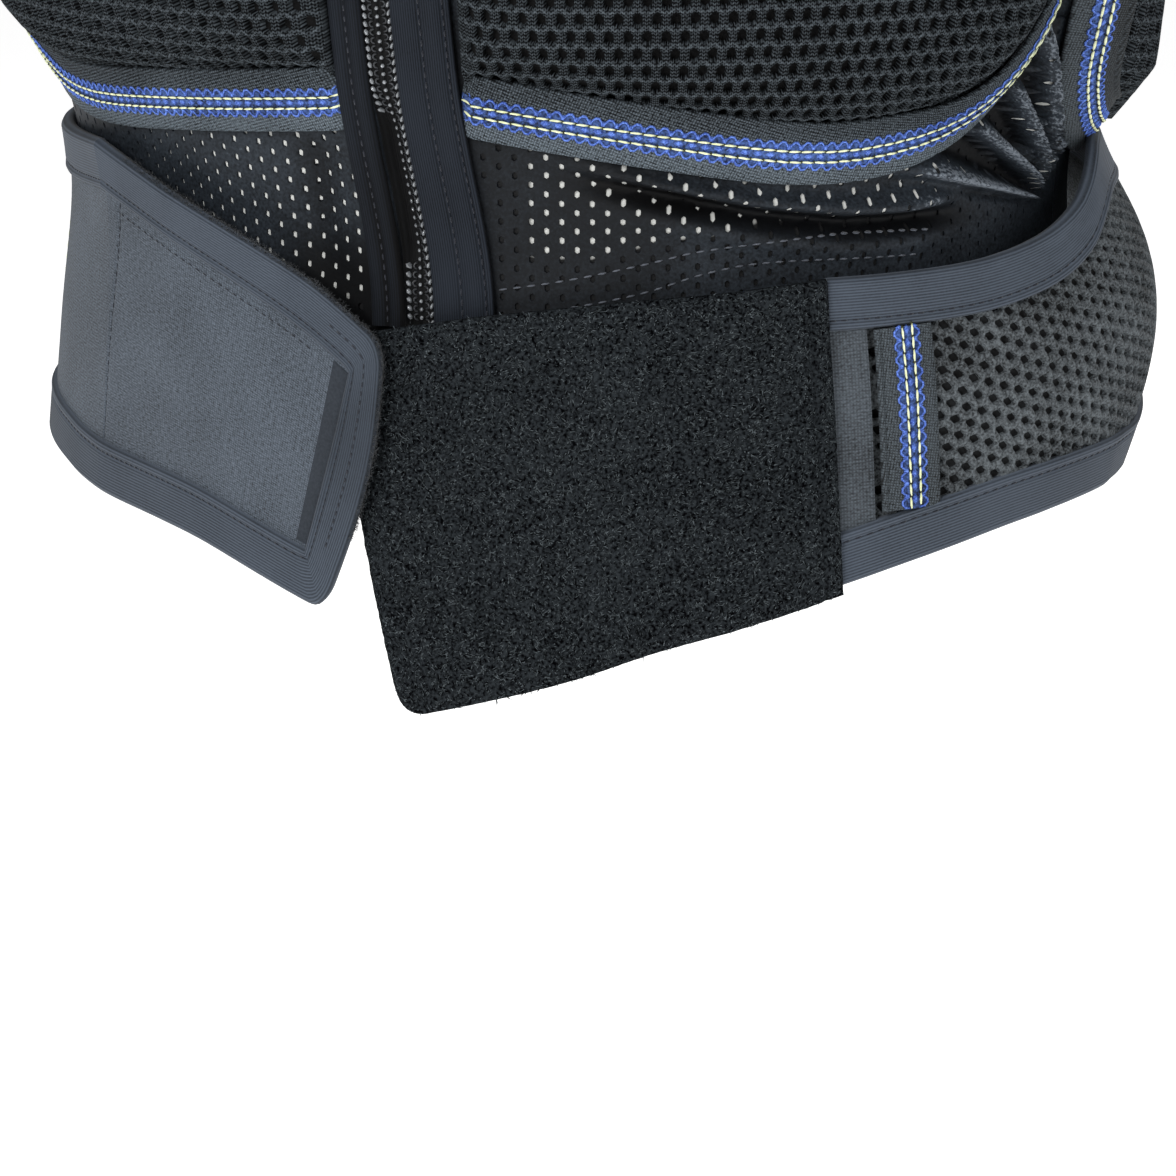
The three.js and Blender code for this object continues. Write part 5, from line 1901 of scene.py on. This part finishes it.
@dataclass
class HookTab:
    """The slate tab with a hook face that closes over the loop panel."""

    thick: float = 2.6
    root: float = -41.0
    tip: float = 0.2
    root_lift: float = 8.4
    tip_lift: float = 13.4
    inset: float = 14.0
    tip_insets: tuple[float, float] = (3.2, 4.8)  # degrees at the bottom and the top
    bottom: Table = ((-41, -95.5), (-22.7, -99.8), (-6.4, -113.1))
    top: Table = ((-41, 9.6), (-30, 1.8), (-18, -9.2), (-8, -21.8), (0.2, -38))
    patch_thick: float = 1.8
    length: float = 105.0
    width: float = 80.0
    bow: float = 1.5  # degrees by which the tip bulges
    corner: float = 7.0
    strip_width: float = 5.4
    seam_ends: tuple[float, float] = (1.0, 10.5)  # from the root at the bottom and the top
    seam_size: tuple[float, float, float] = (1.0, 0.28, 0.25)
    hooks: int = 2600
    cells: tuple[int, int] = (100, 40)
    patch_cells: tuple[int, int] = (40, 30)
    stations: int = 190

    def lift(self, angle: Array) -> Array:
        """Lift of the tab's inner face."""
        return lerp(self.root_lift, self.tip_lift, fade(angle, self.root, self.tip))

    def spot(self, u: Array, v: Array, rim: Array | float) -> Pair:
        """Angle and height by shares of the tab's length and height, inside a share of its rim."""
        low, high = (spline([(a * FLAT, h) for a, h in edge]) for edge in (self.bottom, self.top))
        reach = u * (1 - rim * lerp(*self.tip_insets, v) / (self.tip - self.root))
        lines = []
        for line, sign in ((low, 1), (high, -1)):
            shares = np.linspace(0, 1, len(line))
            height = np.interp(reach, shares, line[:, 1]) + sign * rim * self.inset
            lines.append((np.interp(reach, shares, line[:, 0]) / FLAT, height))
        angle = lerp(lines[0][0], lines[1][0], v) + self.bow * (1 - rim) * np.sin(np.pi * v) * u**5
        return angle, lerp(lines[0][1], lines[1][1], v)

    def face(self, angle: Array, height: Array, outer: bool) -> Array:
        """Lift of the tab's outer or inner face, which runs on from the belt's end."""
        belt = (BELT.outer if outer else BELT.inner)(np.full_like(angle, self.root + 360), height)
        tab = self.lift(angle) + self.thick * outer
        return lerp(belt, tab, fade(angle, self.root, self.root + 14))

    def lay(self) -> Lay:
        """How the tab's fabric lies."""

        def where(x: Array, y: Array) -> Pair:
            """Angle and height of a flat place."""
            return self.spot(x / self.length, y / self.width, 1.0)

        def base(x: Array, y: Array, angle: Array, height: Array) -> Array:
            """Lift of the face."""
            seam = -0.5 * hump(x - lerp(*self.seam_ends, y / self.width), 0.7)
            sag = 0.7 * np.sin(np.pi * x / self.length) * np.sin(np.pi * y / self.width)
            return self.face(angle, height, True) + seam + sag

        return Lay(where, base, lambda x, y, a, h: self.face(a, h, False) + 0.2)

    def rim_lay(self) -> tuple[Lay, float]:
        """How the binding lies round three sides, and its length."""
        turn = np.linspace(0.01, np.pi / 2 - 0.01, 9)
        ru, rv = self.corner / self.length, self.corner / self.width
        along, rise = np.linspace(0, 1 - ru, 60)[:-1], np.linspace(rv, 1 - rv, 42)[1:-1]

        def round_it(out: Array, up: Array) -> Array:
            """Stops round the three sides, with corners from shares of their radius."""
            sides = (
                np.column_stack([along, 0 * along]),
                np.column_stack([1 - ru + ru * out, rv - rv * up]),
                np.column_stack([0 * rise + 1, rise]),
                np.column_stack([1 - ru + ru * out, 1 - rv + rv * up])[::-1],
                np.column_stack([along[::-1], 0 * along + 1]),
            )
            return np.vstack(sides)

        stops = round_it(np.sin(turn), np.cos(turn))
        square = round_it(np.minimum(1, np.tan(turn)), np.minimum(1, 1 / np.tan(turn)))
        angle, height = self.spot(stops[:, 0], stops[:, 1], 0.0)
        spots = FORM.place(angle, height, self.lift(angle)) / MM
        run = run_along(spots)

        def where(x: Array, y: Array) -> Pair:
            """Angle and height of a flat place."""
            u, v = np.interp(x, run, stops[:, 0]), np.interp(x, run, stops[:, 1])
            share = y / self.inset
            in_u, in_v = np.interp(x, run, square[:, 0]), np.interp(x, run, square[:, 1])
            a, b = self.spot(u, v, 0.0), self.spot(in_u, in_v, 1.0)
            return lerp(a[0], b[0], share), lerp(a[1], b[1], share)

        outer, inner = lambda x, y, a, h: self.face(a, h, True), lambda x, y, a, h: self.face(a, h, False)
        return Lay(where, outer, inner), float(run[-1])

    def strip(self, lay: Lay) -> Object:
        """The pressed strip beside the tip."""
        bm = flat_grid(self.strip_width, self.width - 4, 6, 50)
        bmesh.ops.translate(bm, verts=bm.verts[:], vec=(self.length - self.strip_width - 0.4, 2, 0.2))
        thicken(bm)
        return Piece.cut("hook_tab_strip", bm, lay, (SLATE_STRIP,), "slate_fabric")

    def fringe(self, lay: Lay, length: float) -> Object:
        """Loose hooks along the tab's upper edge and tip."""
        rng = np.random.default_rng(SEED + 1)
        n = self.hooks
        runs = rng.uniform(0.40 * length, length * 0.95, n)
        at = np.column_stack([runs, rng.normal(-0.8, 0.4, n), rng.uniform(-2.6, 0.4, n)])
        size = np.column_stack([np.full(n, 0.13), np.full(n, 0.13), rng.uniform(0.1, 0.8, n)])
        lean = np.column_stack([rng.normal(0, 0.9, n), rng.uniform(-2.0, -0.4, n)])
        part = Shape.hair().repeat(at, size, 0.0, lean)
        return Piece.strewn("hook_tab_fringe", [part], lay, (HOOK_HAIR,), "hook_strip")

    def seams(self, lay: Lay, rim: Lay, length: float) -> list[Object]:
        """Stitches along the binding, beside the tip and across the root."""
        runs = np.arange(2, length - 2, 2.9)
        at = level(runs, SEAM_GROOVE, 1.0)
        tip = at[np.abs(runs / length - 0.5) < 0.13] * (1, 0.5, 1) + (0, 0, 0.45)
        at, size = np.vstack([at, tip]), self.seam_size
        name = "hook_tab_binding_seam"
        bound = Piece.stitches(name, at, size, 0.0, rim, DARK_THREAD, "edge_binding")
        ups = np.arange(1.5, self.width - 1, 2.6)
        row = np.column_stack([lerp(*self.seam_ends, ups / self.width), ups, np.full_like(ups, 0.15)])
        alongs = np.arange(12.0, self.length - 12, 2.9)
        second = level(alongs, self.width - 5.0, 0.05)
        turns = np.repeat((math.pi / 2, 0.0), (len(row), len(second)))
        at = np.vstack([row, second])
        across = Piece.stitches("hook_tab_seam", at, size, turns, lay, DARK_THREAD, "slate_fabric")
        return [bound, across]

    def patch(self) -> None:
        """The hook patch under the tab."""
        bm = flat_grid(self.length, self.width, *self.patch_cells)
        thicken(bm)
        roughen(bm, np.random.default_rng(SEED + 2), 0.08)

        def where(x: Array, y: Array) -> Pair:
            """Angle and height of a flat place."""
            return self.spot(lerp(0.14, 0.95, x / self.length), lerp(0.06, 0.94, y / self.width), 0.0)

        back = 0.8 + self.patch_thick
        lay = Lay(where, lambda x, y, a, h: self.lift(a) - 0.8, lambda x, y, a, h: self.lift(a) - back)
        made = Piece.cut("hook_patch_pile", bm, lay, (HOOK_PILE,), "hook_strip", ("hook_patch",))

    def build(self) -> None:
        """Makes the tab, its binding, seams and fringe, and the patch behind it."""
        lay = self.lay()
        bm = flat_grid(self.length, self.width, *self.cells)
        thicken(bm)
        tab = Piece.cut("hook_tab_knit", bm, lay, (SLATE_KNIT,), "slate_fabric", ("hook_tab",))
        rim, length = self.rim_lay()
        bm = swept(length, self.stations, Belt().binding_section())
        # Painted shade on the binding round the tab's tip.
        marks = {"shade": lambda x, y: 0.6 * hump(x / length - 0.5, 0.11)}
        node, finish = "hook_tab_binding", (SLATE_BINDING,)
        bound = Piece.cut(f"{node}_rib", bm, rim, finish, "edge_binding", (node,), marks=marks)
        trims = [self.fringe(rim, length), *self.seams(lay, rim, length), self.strip(lay)]
        self.patch()


# Stage


@dataclass(frozen=True)
class Stage:
    """Pale floor, soft studio light and the camera."""

    floor_height: float = -0.95
    azimuth: float = 24.5
    elevation: float = 17.0
    roll: float = 2.0
    distance: float = 1.5
    target: tuple[float, float, float] = (0.001, 0.0, -0.550)
    lens: float = 148.1
    world_strength: float = 0.32
    lights: tuple[tuple[str, tuple[float, float, float], float, float], ...] = (
        # name, place, size, power
        ("key", (-0.3, -1.9, 0.7), 0.9, 24),
        ("fill", (1.7, -1.0, 0.0), 1.2, 9),
        ("top", (0.2, -0.3, 1.5), 1.2, 18),
        ("behind", (0.3, 1.8, 0.5), 1.4, 12),
        ("sparkle", (0.1, -2.0, 0.3), 0.15, 6),
    )

    def floor(self) -> None:
        """A plain pale floor well below the hem."""
        bm = bmesh.new()
        place = Matrix.Translation((0, 0, self.floor_height))
        bmesh.ops.create_grid(bm, x_segments=2, y_segments=2, size=12, matrix=place)
        mesh = bpy.data.meshes.new("floor")
        bm.to_mesh(mesh)
        bm.free()
        w = Wiring("floor_paint")
        w.colour(w.noise(3.0), (0.0, (250, 250, 250)), (1.0, (253, 253, 253)))
        w.look({"Roughness": 0.9, "Emission Color": (1, 1, 1, 1), "Emission Strength": 0.6})
        mesh.materials.append(w.material)
        floor = bpy.data.objects.new("floor", mesh)
        bpy.context.scene.collection.objects.link(floor)

    def light(self, name: str, place: tuple[float, float, float], size: float, power: float) -> None:
        """A soft square light that faces the protector."""
        data = bpy.data.lights.new(name, "AREA")
        data.size, data.energy = size, power
        lamp = bpy.data.objects.new(name, data)
        lamp.location = place
        lamp.rotation_euler = (Vector(self.target) - Vector(place)).to_track_quat("-Z", "Y").to_euler()
        bpy.context.scene.collection.objects.link(lamp)

    def camera(self) -> None:
        """The camera at the photograph's angle."""
        az, el, roll = (math.radians(d) for d in (self.azimuth, self.elevation, self.roll))
        back = Vector((math.sin(az) * math.cos(el), -math.cos(az) * math.cos(el), math.sin(el)))
        across = Vector((math.cos(az), math.sin(az), 0))
        up = back.cross(across)
        right = math.cos(roll) * across - math.sin(roll) * up
        up = math.sin(roll) * across + math.cos(roll) * up
        data = bpy.data.cameras.new("camera")
        data.lens, data.sensor_width, data.sensor_fit = self.lens, 36.0, "HORIZONTAL"
        data.clip_start = 0.05
        camera = bpy.data.objects.new("camera", data)
        turn = Matrix((right, up, back)).transposed().to_4x4()
        camera.matrix_world = Matrix.Translation(Vector(self.target) + back * self.distance) @ turn
        bpy.context.scene.collection.objects.link(camera)
        bpy.context.scene.camera = camera

    def build(self) -> None:
        """Sets the stage."""
        scene = bpy.context.scene
        scene.view_settings.view_transform = "Standard"
        world = bpy.data.worlds.new("studio")
        world.use_nodes = True
        world.node_tree.nodes["Background"].inputs["Color"].default_value = (1, 1, 1, 1)
        world.node_tree.nodes["Background"].inputs["Strength"].default_value = self.world_strength
        scene.world = world
        self.floor()
        self.camera()
        for row in self.lights:
            self.light(*row)


def main() -> None:
    """Builds the stage and the protector's sub-assemblies in order."""
    logging.basicConfig(level=logging.INFO, format="%(message)s")
    Stage().build()
    for assembly in (Vest(), FrontZip(), Pads(), Belt(), LoopPanel(), HookTab()):
        assembly.build()


if __name__ == "__main__":
    main()
